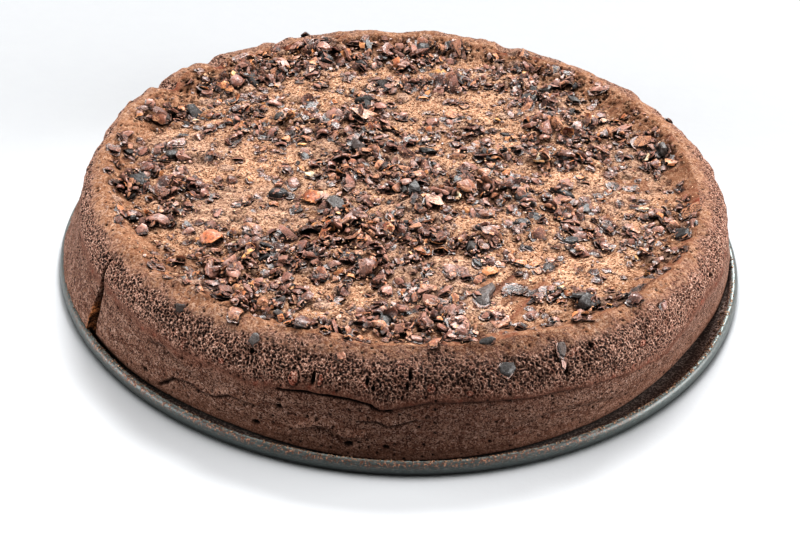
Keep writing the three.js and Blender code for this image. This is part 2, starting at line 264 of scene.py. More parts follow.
class Shader(Graph):
    """One procedural material."""

    def __init__(self, name: str) -> None:
        """Starts the material with a principled surface and object coordinates."""
        self.material = bpy.data.materials.new(name)
        super().__init__(self.material)
        self.surface = self.tree.nodes["Principled BSDF"]
        self.place = self.node("ShaderNodeTexCoord", {}).outputs["Object"]

    def axes(self) -> tuple[Socket, Socket, Socket]:
        """The place's x, y and z in metres."""
        return tuple(self.node("ShaderNodeSeparateXYZ", {0: self.place}).outputs)

    def noise(self, size: float, detail: float, rough: float = 0.5, stretch: Place = (1, 1, 1)) -> Socket:
        """Noise from 0 to 1 with features of a size in millimetres, stretched along the axes."""
        place = self.node("ShaderNodeMapping", {"Vector": self.place, "Scale": stretch}).outputs[0]
        inputs = {"Vector": place, "Scale": 1.0 / (size * MM), "Detail": detail, "Roughness": rough}
        return self.node("ShaderNodeTexNoise", inputs).outputs["Fac"]

    def flakes(self, size: float) -> Socket:
        """A random value for each of many little flakes of a size in millimetres."""
        chips = self.node("ShaderNodeTexVoronoi", {"Vector": self.place, "Scale": 1.0 / (size * MM)})
        return self.node("ShaderNodeSeparateColor", {"Color": chips.outputs["Color"]}).outputs[0]

    def painted(self, name: str) -> tuple[Socket, Socket, Socket, Socket]:
        """The four numbers that a mesh stores under a name."""
        read = self.node("ShaderNodeAttribute", {}, attribute_name=name)
        parts = self.node("ShaderNodeSeparateColor", {"Color": read.outputs["Color"]}).outputs
        return parts[0], parts[1], parts[2], read.outputs["Alpha"]

    def span(
        self, value: Socket, low: float, high: float, to_low: float = 0.0, to_high: float = 1.0
    ) -> Socket:
        """A value stretched smoothly from one range to another."""
        inputs = {"Value": value, "From Min": low, "From Max": high, "To Min": to_low, "To Max": to_high}
        return self.node("ShaderNodeMapRange", inputs, interpolation_type="SMOOTHSTEP").outputs[0]

    def mix(self, share: object, first: object, second: object) -> Socket:
        """Two colours mixed by a share."""
        inputs = {0: share, 6: self.whole(first), 7: self.whole(second)}
        return self.node("ShaderNodeMix", inputs, data_type="RGBA").outputs[2]

    def gap_shade(
        self, colour: Socket, reach: float, black: Colour, shut: float = 0.3, open_from: float = 0.8
    ) -> Socket:
        """A colour with painted shade: it turns black in the narrow gaps between pieces, where shade falls.

        Args:
            colour: The colour.
            reach: How far a gap reaches in millimetres.
            black: The colour of the painted shade deep in a gap.
            shut: How open a place is where it is all black.
            open_from: How open a place is where the darkening ends.

        Returns:
            The colour.
        """
        gap = self.node("ShaderNodeAmbientOcclusion", {"Distance": reach * MM}, samples=6).outputs["AO"]
        return self.mix(self.span(gap, shut, open_from), black, colour)

    @staticmethod
    def whole(colour: object) -> object:
        """A plain colour with its alpha, and a socket as it is."""
        return colour if isinstance(colour, Socket) else (*colour, 1.0)

    def relief(self, height: Socket, depth: float, under: Socket | None = None) -> Socket:
        """A bumped normal.

        Args:
            height: The relief, from 0 to 1.
            depth: How deep it is in millimetres.
            under: The normal of coarser relief that this lies on.

        Returns:
            The normal.
        """
        inputs: dict[str | int, object] = {"Height": height, "Distance": depth * MM, "Strength": 1.0}
        if under is not None:
            inputs["Normal"] = under
        return self.node("ShaderNodeBump", inputs).outputs["Normal"]

    def finish(self, colour: Socket, rough: object, normal: Socket, **fixed: float) -> bpy.types.Material:
        """Sets the surface.

        Args:
            colour: The base colour.
            rough: The roughness.
            normal: The bumped normal.
            **fixed: Other sockets' values, with underscores for spaces.

        Returns:
            The finished material.
        """
        inputs = {name.replace("_", " "): value for name, value in fixed.items()}
        self.feed(self.surface, {"Base Color": colour, "Roughness": rough, "Normal": normal, **inputs})
        return self.material


class CrumbShader(Shader):
    """The crumb's material, with what its colours are mixed from: the mesh's paint and four textures.

    The mesh paints two sets of four.  "zones" holds the outer side, the smooth lower wall, the torn inner
    crumb and painted shade round nibs on the top and on the front of the side.  "marks" holds painted shade
    in holes, pits and cuts, ridges between pores that carry a painted highlight, rust spots, and a grey film
    on the top, the open crumb of the band or pale speckle on the wall.
    """

    def __init__(self, name: str) -> None:
        """Reads the paint and makes the textures."""
        super().__init__(name)
        self.side, self.low, self.torn, self.painted_shade = self.painted("zones")
        self.hole, self.ridge, self.rust, self.film = self.painted("marks")
        self.flake, self.fine = self.flakes(0.78), self.flakes(0.42)
        self.speck, self.mottle = self.noise(0.5, 2.0, 0.7), self.noise(3.2, 3.0, 0.6)


@dataclass(frozen=True)
class CrumbFinish:
    """The baked crumb: a tan flaky top, a dark porous band below the crest and a smooth lower wall."""

    name: str = "cake_crumb"
    top: Colour = (0.395, 0.211, 0.125)
    top_pale: Colour = (0.62, 0.41, 0.28)
    top_dark: Colour = (0.048, 0.012, 0.005)
    top_rust: Colour = (0.190, 0.084, 0.044)
    film: Colour = (0.30, 0.215, 0.185)
    film_dark: Colour = (0.15, 0.095, 0.08)
    band: Colour = (0.078, 0.029, 0.018)
    band_pale: Colour = (0.160, 0.068, 0.044)
    # ridge and glint: painted highlights on the threads between the band's pores.
    ridge: Colour = (0.50, 0.30, 0.225)
    glint: Colour = (0.78, 0.56, 0.46)
    # Near black: painted shade in holes, pits, cuts, pores and gaps.
    hole: Colour = (0.004, 0.001, 0.0005)
    low: Colour = (0.128, 0.059, 0.038)
    low_grey: Colour = (0.208, 0.117, 0.084)
    low_dark: Colour = (0.030, 0.011, 0.007)
    low_speckle: Colour = (0.44, 0.31, 0.26)
    foot_painted_light: Colour = (0.23, 0.115, 0.078)
    rust: Colour = (0.205, 0.040, 0.020)
    torn: Colour = (0.52, 0.195, 0.070)
    # Painted shade round nibs on the top and on the front of the side.
    painted_shade: Colour = (0.030, 0.008, 0.004)
    pore_size: float = 1.2
    gap_reach: float = 2.2
    mottle_depth: float = 0.5
    flake_depth: float = 0.24

    def make(self) -> bpy.types.Material:
        """Builds the material."""
        s = CrumbShader(self.name)
        colour = s.mix(s.low, s.mix(s.side, self.top_colour(s), self.band_colour(s)), self.wall_colour(s))
        # Torn crumb, with painted shade in its pores.
        colour = s.mix(s.torn, colour, s.mix(s.span(s.speck, 0.35, 0.6), self.hole, self.torn))
        # Painted shade in the marked holes, pits and cuts, and in the gaps between pieces.
        colour = s.gap_shade(s.mix(s.hole, colour, self.hole), self.gap_reach, self.hole)
        grit = s.times(s.fine, s.sums("SUBTRACT", 1.0, s.times(s.low, 0.5)))
        grit = s.sums("ADD", grit, s.times(s.flake, 0.8))
        normal = s.relief(grit, self.flake_depth, s.relief(s.mottle, self.mottle_depth))
        rough = s.sums("SUBTRACT", 0.86, s.times(s.ridge, 0.42), True)
        return s.finish(colour, rough, normal, Specular_IOR_Level=0.10)

    def top_colour(self, s: CrumbShader) -> Socket:
        """The top's colour: pale and dark flakes, rusty patches, a grey film and painted shade round nibs."""
        mixed = s.sums("ADD", s.times(s.flake, 0.4), s.times(s.fine, 0.6))
        dark = s.mix(s.span(mixed, 0.22, 0.40), self.top_dark, self.top)
        top = s.mix(s.span(mixed, 0.56, 0.80), dark, self.top_pale)
        top = s.mix(s.times(s.rust, s.span(s.mottle, 0.35, 0.65, 0.46, 0.90)), top, self.top_rust)
        grey = s.mix(s.span(mixed, 0.2, 0.8), self.film_dark, s.mix(0.5, self.film, self.top_pale))
        top = s.mix(s.times(s.film, 0.85), top, grey)
        top = s.mix(s.span(s.noise(26.0, 3.0), 0.35, 0.65, 0.0, 0.18), top, self.top_dark)
        # Painted shade darkens the crumb round each nib.
        return s.mix(s.times(s.painted_shade, s.span(s.fine, 0.2, 0.9, 0.95, 0.55)), top, self.painted_shade)

    def band_colour(self, s: CrumbShader) -> Socket:
        """The porous band's colour: dark crumb, rust spots, painted highlights on a web of threads, painted
        shade in the pores between them, and painted shade on the front.
        """
        band = s.mix(s.span(s.fine, 0.1, 0.9), self.band, self.band_pale)
        band = s.mix(s.times(s.times(s.rust, 0.8), s.side), band, self.rust)
        # A painted highlight on the ridges between pores.
        band = s.mix(s.times(s.ridge, s.span(s.speck, 0.35, 0.60)), band, self.ridge)
        inputs = {"Vector": s.place, "Scale": 1.0 / (self.pore_size * MM)}
        web = s.node("ShaderNodeTexVoronoi", inputs, feature="DISTANCE_TO_EDGE").outputs["Distance"]
        porous = s.span(s.film, 0.15, 0.80)
        # Painted shade fills the pores, and painted highlights lie on the threads round them.
        thread_highlight = s.times(porous, s.span(web, 0.16, 0.05))
        band = s.mix(s.times(porous, s.span(web, 0.12, 0.28, 0.0, 0.95)), band, self.hole)
        band = s.mix(s.times(thread_highlight, s.span(s.speck, 0.40, 0.60, 0.10, 0.66)), band, self.ridge)
        band = s.mix(s.times(thread_highlight, s.span(s.speck, 0.54, 0.66, 0.0, 0.8)), band, self.glint)
        # Painted shade darkens the front of the band.
        return s.mix(s.times(s.painted_shade, 0.6), band, self.low_dark)

    def wall_colour(self, s: CrumbShader) -> Socket:
        """The lower wall's colour: grey smears, dark and pale specks, painted light near the foot and painted
        shade on the front.
        """
        smear = s.noise(7.0, 3.0, 0.55, (1, 1, 2.6))
        wall = s.mix(s.span(smear, 0.36, 0.64), self.low, self.low_grey)
        wall = s.mix(s.span(s.fine, 0.05, 0.65, 1.0, 0.0), wall, self.low_dark)
        wall = s.mix(s.times(s.film, s.span(s.fine, 0.45, 0.8)), wall, self.low_speckle)
        wall = s.mix(s.span(s.fine, 0.75, 0.98, 0.0, 0.28), wall, self.low_speckle)
        # Painted light: the wall is lighter towards the foot.
        wall = s.mix(s.span(s.axes()[2], 11 * MM, 3 * MM, 0.0, 0.35), wall, self.foot_painted_light)
        # Painted shade darkens the front of the wall.
        return s.mix(s.times(s.painted_shade, 0.5), wall, self.low_dark)


@dataclass(frozen=True)
class NibFinish:
    """A broken nib's satin skin.  The mesh paints "tint": each nib's colour, darkened by painted shade
    towards its underside, and in alpha its sharp rims.
    """

    name: str
    rough: float
    rim: Colour
    gloss: float
    # bright: how strongly the rims' lighter colour and painted highlight show.
    bright: float = 0.5
    soot: Colour = (0.008, 0.003, 0.002)
    gap: Colour = (0.002, 0.0008, 0.0005)

    def make(self) -> bpy.types.Material:
        """Builds the material."""
        s = Shader(self.name)
        read = s.node("ShaderNodeAttribute", {}, attribute_name="tint")
        mottle = s.noise(1.4, 3.0, 0.65)
        fleck = s.flakes(0.45)
        colour = s.mix(s.span(mottle, 0.30, 0.58, 0.70, 0.0), read.outputs["Color"], self.soot)
        colour = s.mix(s.span(fleck, 0.7, 1.0, 0.0, 0.35), colour, self.rim)
        # The sharp rims: partly the broken edges' own lighter colour, partly a painted highlight.
        edge = s.times(read.outputs["Alpha"], s.span(fleck, 0.1, 0.7, 0.0, self.bright))
        # Painted shade in the gaps round each nib.
        colour = s.gap_shade(s.mix(edge, colour, self.rim), 2.4, self.gap, 0.32, 0.85)
        rough = s.span(mottle, 0.3, 0.7, self.rough + 0.14, self.rough - 0.08)
        normal = s.relief(fleck, 0.17, s.relief(mottle, 0.35))
        return s.finish(colour, rough, normal, Specular_IOR_Level=self.gloss)


@dataclass(frozen=True)
class TinFinish:
    """The tin's dark coating, scratched with wear, with a painted highlight along the bead and painted shade
    towards the bottom, spotted with baked-on batter.
    """

    coat: Colour = (0.043, 0.052, 0.050)
    # The coating's scratches of wear.
    wear_and_highlight: Colour = (0.17, 0.195, 0.19)
    # The colour of the painted highlight along the bead.
    bead_highlight: Colour = (0.44, 0.54, 0.525)
    burnt: Colour = (0.150, 0.070, 0.050)
    rust: Colour = (0.115, 0.046, 0.028)
    fleck: Colour = (0.42, 0.22, 0.14)
    shade: Colour = (0.010, 0.013, 0.013)
    batter: Colour = (0.80, 0.58, 0.49)

    def make(self) -> bpy.types.Material:
        """Builds the material."""
        s = Shader("tin_steel")
        inside, edge, crusted, _ = s.painted("zones")
        fleck = s.noise(0.75, 2.0, 0.7)
        patch = s.noise(9.0, 3.0)
        scratch = s.noise(1.6, 2.0, 0.6, (1, 1, 7))
        colour = s.mix(s.span(scratch, 0.42, 0.75, 0.0, 0.4), self.coat, self.wear_and_highlight)
        crust = s.mix(s.span(fleck, 0.47, 0.62), self.burnt, self.batter)
        colour = s.mix(s.times(inside, 0.95), colour, crust)
        spots = s.span(s.noise(0.95, 2.0, 0.7), 0.48, 0.55)
        spots = s.times(spots, s.sums("ADD", crusted, s.span(patch, 0.55, 0.7, 0.0, 0.12), True))
        colour = s.mix(spots, colour, s.mix(s.span(fleck, 0.52, 0.60), self.rust, self.fleck))
        # A painted highlight along the bead's inner top edge.
        colour = s.mix(s.times(edge, s.span(fleck, 0.40, 0.54, 0.25, 1.0)), colour, self.bead_highlight)
        colour = s.mix(s.span(s.axes()[2], 3.8 * MM, 0.8 * MM, 0.0, 0.8), colour, self.shade)
        colour = s.gap_shade(colour, 3.0, self.shade, 0.1, 0.5)
        dirt = s.times(s.sums("ADD", spots, inside, True), 0.4)
        rough = s.sums("ADD", s.span(scratch, 0.3, 0.7, 0.34, 0.48), dirt)
        normal = s.relief(fleck, 0.08, s.relief(patch, 0.2))
        return s.finish(colour, rough, normal, Metallic=0.35)


@dataclass(frozen=True)
class FloorFinish:
    """The plain white surface under the tin: the faintest mottle, painted light just in front of the cake and
    beside it, and a painted contact shadow round the tin.
    """

    white: Colour = (0.308, 0.315, 0.324)
    mottle: Colour = (0.296, 0.303, 0.314)
    # Painted light for the floor near the cake.
    bright: Colour = (0.560, 0.573, 0.590)
    shadow: Colour = (0.05, 0.055, 0.055)

    def make(self) -> bpy.types.Material:
        """Builds the material."""
        s = Shader("floor_white")
        soft = s.noise(9.0, 4.0, 0.6)
        colour = s.mix(s.span(soft, 0.35, 0.65, 0.0, 0.25), self.white, self.mottle)
        away = s.node("ShaderNodeVectorMath", {0: s.place}, operation="LENGTH").outputs["Value"]
        beside, ahead, _ = s.axes()
        # Painted light on the floor in front of the cake and beside it, where its shadow falls.
        near = s.times(s.span(away, 0.25, 0.13), s.span(ahead, 0.14, -0.04))
        near = s.times(near, s.span(beside, 0.03, 0.13, 1.0, 0.62))
        # Painted light, then a painted contact shadow round the tin.
        colour = s.gap_shade(s.mix(near, colour, self.bright), 9.0, self.shadow, 0.30, 0.78)
        return s.finish(colour, 0.9, s.relief(soft, 0.12), Specular_IOR_Level=0.2)


# ---- the cake's form -------------------------------------------------------------------------------


@dataclass(frozen=True)
class WallStroke:
    """A crease or wrinkle drawn along the wall.

    Args:
        path: Pairs of angle and height that the stroke passes.
        depth: How deep it cuts in.
        width: How wide the cut is.
        lip: How far the crumb above it bulges out.
        dark: How much painted shade darkens the cut, from 0 to 1.
    """

    path: Pairs
    depth: float
    width: float
    lip: float
    dark: float

    def measure(self, angle: Array, height: Array, radius: float) -> tuple[Array, Array]:
        """How far each place on the wall is from the stroke.

        Args:
            angle: Angles of the places.
            height: Their heights.
            radius: The wall's radius, to turn angles into lengths.

        Returns:
            The distances, and how far each place lies above the stroke.
        """
        arc = math.radians(1.0) * radius
        place = np.stack([np.asarray(angle) * arc, height], -1)
        best = np.full(len(place), 1e9)
        above = np.zeros(len(place))
        for (a0, z0), (a1, z1) in zip(self.path, self.path[1:]):
            start, along = np.array([a0 * arc, z0]), np.array([(a1 - a0) * arc, z1 - z0])
            share = np.clip((place - start) @ along / (along @ along), 0.0, 1.0)
            nearest = start + share[:, None] * along
            away = np.linalg.norm(place - nearest, axis=1)
            closer = away < best
            best = np.where(closer, away, best)
            above = np.where(closer, place[:, 1] - nearest[:, 1], above)
        return best, above


# Drifts of nibs on the top: x, y, spread along x, spread along y, weight.
DRIFTS: tuple[tuple[float, float, float, float, float], ...] = (
    *((-17, 46, 6, 8, 0.8), (-17, 27, 9, 9, 1.1), (-14, 12, 8, 8, 0.9)),
    *((-28, 4, 12, 6, 0.7), (-46, 30, 12, 7, 0.5), (-62, 37, 6, 8, 0.8)),
    *((-68, 64, 7, 8, 1.0), (-54, 78, 6, 9, 0.7), (-35, 86, 13, 7, 1.1)),
    *((3, 92, 9, 8, 0.9), (8, 69, 11, 4, 0.8), (26, 74, 9, 6, 0.5)),
    *((41, 81, 8, 6, 0.9), (55, 63, 10, 7, 0.7), (61, 40, 10, 8, 1.0)),
    *((58, 18, 12, 5, 1.0), (37, 16, 8, 5, 0.6), (22, 34, 12, 5, 0.7)),
    *((92, 22, 8, 10, 0.9), (86, 38, 6, 6, 0.5), (28, -6, 12, 6, 1.2)),
    *((10, -12, 9, 7, 0.9), (-6, 0, 9, 8, 0.6), (-20, -22, 7, 8, 0.9)),
    *((-17, -39, 13, 7, 1.1), (5, -46, 10, 7, 0.8), (-26, -56, 10, 6, 1.0)),
    *((-8, -63, 9, 8, 0.9), (-61, -57, 9, 11, 1.0), (-50, -78, 11, 6, 0.9)),
    *((-52, -92, 7, 6, 1.0), (-12, -96, 18, 6, 0.9), (14, -86, 12, 7, 0.6)),
    *((-98, -9, 8, 9, 1.0), (-86, -21, 9, 8, 0.8), (-88, -38, 8, 4, 0.6)),
    *((-86, 7, 7, 5, 0.6), (-92, 36, 8, 5, 0.7), (60, -30, 11, 9, 0.6)),
    *((45, -11, 8, 6, 0.6), (26, -43, 9, 7, 0.6), (101, -24, 8, 10, 0.9)),
    *((91, -42, 7, 7, 0.7), (66, -78, 9, 8, 0.5)),
)


@dataclass(frozen=True)
class CakeForm:
    """The cake's smooth form: its radii round the circle, its collar, its fold and its swells.

    "foot", "waist", "crest" and "plateau" are radii at evenly spaced angles, the first at +X.  "wall_shares"
    says how far the wall has drawn in from the foot to the waist at each of "wall_heights".  "pinches" holds
    the angle and depth of each dent in the collar, and "swells" the height and two lengths of each wave.
    """

    height: float = 38.2
    wall_top: float = 25.5
    plateau_height: float = 34.2
    floor: float = 1.25
    tin_flat_radius: float = 121.0
    rim_radius: float = 126.05
    rim_top: float = 5.9
    rim_bend: float = 3.4
    profile_steps: int = 120
    foot: Ring = (127.2, 126.4, 125.6, 125, 125.6, 126.6, 127.2, 126.2, 122, 124.4, 121.9, 120.4)
    waist: Ring = (122.8, 119.8, 118.8, 118.8, 121.4, 122.2, 120.4, 121.4, 122.8, 124.6, 124, 123.4)
    crest: Ring = (110.5, 107.5, 106, 105.5, 108.4, 110.8, 111, 110.5, 108.5, 107.5, 110, 112.5)
    plateau: Ring = (105, 99, 93, 89, 90.5, 96, 102, 101.5, 99.5, 99, 102, 106)
    wall_heights: Ring = (6.8, 13, 19.5, 23.3, 25.5)
    wall_shares: Ring = (0.0, 0.35, 0.75, 0.95, 1.0)
    pinches: Pairs = (
        *((149, 3.4), (136, 2.8), (119, 2.6), (68, 1.8)),
        *((34, 0.9), (11, 0.8), (170, 1.2)),
    )
    pinch_width: float = 3.2
    crest_wave: float = 0.5
    fold: float = -149.2
    fold_step: float = 2.6
    fold_fade: float = 48.0
    slit_top: float = 35.5
    swells: tuple[tuple[float, float, float], ...] = ((0.5, 107, 132), (0.35, 52, 68))
    heap_rise: float = 1.1

    def pinch(self, angle: Array) -> Array:
        """How far the collar is pinched in at each angle."""
        return sum(depth * bump(turn(at, angle), self.pinch_width) for at, depth in self.pinches)

    def crest_radius(self, angle: Array) -> Array:
        """The crest's radius at each angle."""
        return round_value(self.crest, angle) - self.pinch(angle) * 0.5

    def crest_height(self, angle: Array) -> Array:
        """The crest's height at each angle."""
        wave = self.crest_wave * np.sin(np.radians(np.asarray(angle) * 5))
        return self.height + wave - self.pinch(angle) * 0.6

    def flap(self, angle: Array, height: Array) -> Array:
        """How far the flap left of the fold stands out at each angle and height."""
        behind = turn(angle, self.fold)
        inside = (behind >= 0) & (behind <= self.fold_fade)
        sink = ease(self.floor, self.height, height)
        return np.where(inside, self.fold_step * (1 - sink) * (1 - behind / self.fold_fade), 0.0)

    def rim_limit(self, height: Array) -> Array:
        """The radius at which the turned-up rim of the tin begins, at each height in it."""
        return np.interp(height, [self.floor, self.rim_bend], [self.tin_flat_radius, self.rim_radius])

    def outer(self, angle: Array) -> Array:
        """The wall's profile at each angle, from the crest out and down to the foot.

        Args:
            angle: The angles.

        Returns:
            An array of angles by points by radius and height.
        """
        steps = self.profile_steps
        angle = np.asarray(angle, float)[:, None]
        crest, crest_height = self.crest_radius(angle), self.crest_height(angle)
        waist, foot = round_value(self.waist, angle), round_value(self.foot, angle)
        lift = np.radians(np.linspace(90.0, 0.0, steps // 2))[None, :]
        reach = waist - crest - self.pinch(angle) * 0.7
        round_height = self.wall_top + (crest_height - self.wall_top) * np.sin(lift)
        flap = self.flap(np.broadcast_to(angle, round_height.shape), round_height)
        shoulder = np.stack([crest + (reach + flap) * np.cos(lift), round_height], -1)
        wall_height = np.linspace(self.wall_top, self.floor, steps - steps // 2 + 1)[1:]
        share = np.interp(wall_height, self.wall_heights, self.wall_shares)[None, :]
        wide = np.broadcast_to(wall_height, (len(angle), len(wall_height)))
        radius = foot + (waist - self.pinch(angle) * 0.7 * share - foot) * share
        radius = radius + self.flap(np.broadcast_to(angle, wide.shape), wide)
        tuck = 1.6 * ease(self.floor + 1.4, self.floor, wide)
        limit = np.where(wide > self.rim_top, NO_LIMIT, self.rim_limit(wide))
        wall = np.stack([np.minimum(radius - tuck, limit), wide], -1)
        return np.concatenate([shoulder, wall], axis=1)

    def drift(self, x: Array, y: Array) -> Array:
        """How thickly nibs lie at each place on the top, from 0 to about 1."""
        total = np.zeros_like(np.asarray(x, float))
        for middle_x, middle_y, spread_x, spread_y, weight in DRIFTS:
            away = ((x - middle_x) / spread_x) ** 2 + ((y - middle_y) / spread_y) ** 2
            total = total + weight * np.exp(-away / 2)
        return total

    def top_height(self, x: Array, y: Array) -> Array:
        """The height of the sunken top and the collar's inner slope at each place inside the crest."""
        radius, angle = np.hypot(x, y), np.degrees(np.arctan2(y, x))
        flat = round_value(self.plateau, angle)
        rise = ease(0.0, 1.0, (radius - flat) / (self.crest_radius(angle) - flat))
        swell = sum(
            tall * np.sin(math.tau * x / long_x) * np.cos(math.tau * y / long_y)
            for tall, long_x, long_y in self.swells
        )
        swell = swell + self.heap_rise * np.minimum(1.0, self.drift(x, y))
        climb = (self.crest_height(angle) - self.plateau_height) * rise
        return self.plateau_height + swell * (1 - rise) + climb


@dataclass
class Buried:
    """A nib under a skin of batter: its place, its sizes, how far it stands up, and how grey it shows."""

    x: float
    y: float
    length: float
    width: float
    heading: float
    rise: float
    grey: float


class Patch:
    """One closed piece of the cake's skin: rows of points and the paint on each."""

    def __init__(self, name: str, points: Array) -> None:
        """Starts a patch.

        Args:
            name: The piece's name.
            points: Rows by columns by x, y and z.
        """
        self.name = name
        self.points = points
        self.zones = np.zeros((*points.shape[:-1], 4))
        self.marks = np.zeros((*points.shape[:-1], 4))

    def number(self, bm: bmesh.types.BMesh) -> tuple[object, object]:
        """Puts vertices on the first row's points, and returns the layers that hold row and column."""
        for name in ("row", "column"):
            bm.verts.layers.int.new(name)
        row_layer, column_layer = (bm.verts.layers.int[name] for name in ("row", "column"))
        for column, (vertex, place) in enumerate(zip(bm.verts, self.points[0])):
            vertex.co = place
            vertex[column_layer] = column
        return row_layer, column_layer

    def finish(self, bm: bmesh.types.BMesh) -> None:
        """Turns the built mesh, in which each vertex knows its row and column, into the piece."""
        bmesh.ops.triangulate(bm, faces=[face for face in bm.faces if len(face.verts) > 4])
        bmesh.ops.scale(bm, vec=(MM, MM, MM), verts=bm.verts)
        bmesh.ops.recalc_face_normals(bm, faces=bm.faces)
        mesh = bpy.data.meshes.new(self.name)
        bm.to_mesh(mesh)
        bm.free()
        place = []
        for name in ("row", "column"):
            values = np.zeros(len(mesh.vertices), np.int32)
            mesh.attributes[name].data.foreach_get("value", values)
            mesh.attributes.remove(mesh.attributes[name])
            place.append(values)
        mesh.polygons.foreach_set("use_smooth", np.ones(len(mesh.polygons), bool))
        self.piece = put(self.name, mesh)
        self.rows, self.columns = place

    def dress(self, material: bpy.types.Material) -> None:
        """Paints the piece and gives it its material, in place of the plain cake."""
        paint(self.piece, "zones", self.zones[self.rows, self.columns])
        paint(self.piece, "marks", self.marks[self.rows, self.columns])
        dress(self.piece, material)
        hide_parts("cake")


@dataclass
class CakeBody:
    """The cake's skin in three closed pieces: the top, the porous band under the crest and the lower wall.

    "wall_holes" and "wall_ovals" hold the angle, height, width and height of each hole and covered nib.
    """

    form: CakeForm
    top_cells: int = 296
    band_columns: int = 1920
    band_rows: int = 46
    wall_columns: int = 1600
    wall_rows: int = 55
    buried_count: int = 420
    buried_reach: float = 111.0
    side_radius: float = 123.0
    slit_depth: float = 3.2
    hole_depth: float = 1.6
    torn_top: float = 17.0
    seed: int = 913
    creases: tuple[WallStroke, ...] = (
        WallStroke(
            ((-108, 25.6), (-103.5, 27.3), (-100.6, 27.5), (-96.7, 27.2))
            + ((-93.3, 26.0), (-92.4, 23.9), (-90.3, 23.7)),
            *(1.6, 0.5, 0.8, 0.95),
        ),
        WallStroke(
            ((-91, 24.4), (-88.3, 25.2), (-84.6, 27.3), (-80, 26.8), (-73.7, 26.1), (-67.1, 24.3))
            + ((-61.9, 23.2), (-56.1, 21.8), (-49.1, 18.5), (-40.1, 15.5)),
            *(0.6, 0.7, 0.8, 0.35),
        ),
    )
    wrinkles: tuple[WallStroke, ...] = (
        WallStroke(
            ((-94.6, 18.6), (-92.3, 19.0), (-90.7, 17.1), (-89.2, 18.2), (-86.5, 20.4)), *(0.9, 0.5, 0.8, 0.7)
        ),
        WallStroke(
            ((-105, 12.0), (-101.5, 15.7), (-99.6, 15.7), (-97.4, 12.6), (-95, 13.6)), *(-1.6, 1.2, 0.0, -0.2)
        ),
        WallStroke(((-101.5, 12.6), (-98.6, 12.0), (-96.4, 9.6)), 1.2, 1.3, 0.6, 0.25),
        WallStroke(
            ((-131, 5.0), (-127.7, 11.6), (-124.6, 12.9), (-122, 11.3))
            + ((-119.4, 11.7), (-116.6, 15.3), (-112, 15.2)),
            *(1.1, 0.6, 0.9, 0.75),
        ),
        WallStroke(
            ((-133.3, 20.8), (-130.2, 22.1), (-128.1, 20.4), (-126.4, 18.1), (-123.5, 16.6)),
            *(0.8, 1.1, 0.8, 0.3),
        ),
        WallStroke(((-72, 12), (-66, 14.5), (-60, 13.5), (-53, 10)), 0.5, 1.4, 0.6, 0.1),
        WallStroke(((-20, 20), (-8, 22.5), (4, 21), (15, 22.5)), 0.7, 1.2, 0.5, 0.2),
        WallStroke(((38, 17), (50, 20), (63, 18.5), (76, 20.5)), 0.9, 1.0, 0.7, 0.4),
        WallStroke(((96, 22), (108, 19), (121, 20.5), (133, 17)), 0.8, 1.1, 0.6, 0.3),
        WallStroke(((160, 14), (171, 17.5), (184, 16)), 0.8, 1.0, 0.6, 0.3),
    )
    wall_holes: Spots = (
        *((-96.7, 7.7, 3.0, 1.5), (-90.9, 8.4, 2.1, 1.6), (-112.0, 7.4, 2.6, 1.8)),
        *((-107.8, 17.9, 2.8, 2.2), (-134.4, 8.0, 2.4, 1.6), (-102.6, 31.8, 1.3, 3.4)),
        *((-94.2, 33.0, 1.2, 2.2), (-93.2, 31.4, 0.9, 1.8), (-87.6, 34.6, 1.2, 2.6)),
        *((-88.0, 32.4, 0.9, 2.2), (-62.4, 31.6, 1.8, 4.2), (-57.0, 35.6, 1.6, 1.6)),
        *((-113.5, 34.6, 1.8, 1.2), (-24.0, 30.5, 1.8, 1.4), (22.0, 11.0, 2.0, 1.5)),
        *((84.0, 9.5, 2.2, 1.5), (141.0, 24.0, 1.8, 1.6), (176.0, 29.0, 2.0, 1.6)),
        *((-162.0, 21.0, 1.6, 1.4),),
    )
    wall_ovals: Spots = (
        *((-105.7, 30.7, 3.6, 4.4), (-101.4, 31.6, 1.6, 3.2), (-84.4, 31.9, 3.0, 2.6)),
        *((-78.5, 30.0, 2.2, 2.0), (-118.0, 29.0, 2.6, 2.2), (-47.0, 29.5, 3.0, 2.6)),
        *((-30.0, 27.0, 2.4, 2.2),),
    )

    def build(self) -> list[Patch]:
        """Builds the three pieces, so that they meet without a gap.

        Returns:
            The top, the band and the lower wall.
        """
        self.buried = self.bury()
        self.top = self.make_top()
        self.band = self.make_strip("cake_band", self.band_columns, self.band_rows, True)
        self.wall = self.make_strip("cake_wall", self.wall_columns, self.wall_rows, False)
        border = self.top.points[0][self.rim]
        self.fit(self.band, self.band.points[0], border)
        self.fit(self.wall, self.wall.points[0], self.band.points[-1])
        patches = [self.top, self.band, self.wall]
        for patch, make in zip(patches, (self.top_mesh, self.band_mesh, self.wall_mesh)):
            patch.finish(make(patch))
        return patches

    def bury(self) -> list[Buried]:
        """Picks places for the nibs that batter has covered, more of them where nibs lie thick."""
        draw = random.Random(self.seed)
        buried: list[Buried] = []
        while len(buried) < self.buried_count:
            angle, reach = draw.uniform(-180, 180), self.buried_reach * math.sqrt(draw.random())
            x, y = spot(reach, angle)
            if draw.random() > 0.45 + float(self.form.drift(x, y)):
                continue
            length = draw.uniform(3.0, 8.0)
            grey = draw.choice((0.0, 0.0, 0.45, 0.85))
            width, heading = length * draw.uniform(0.5, 0.85), draw.uniform(0, 180)
            buried.append(Buried(x, y, length, width, heading, draw.uniform(0.3, 1.1), grey))
        return buried

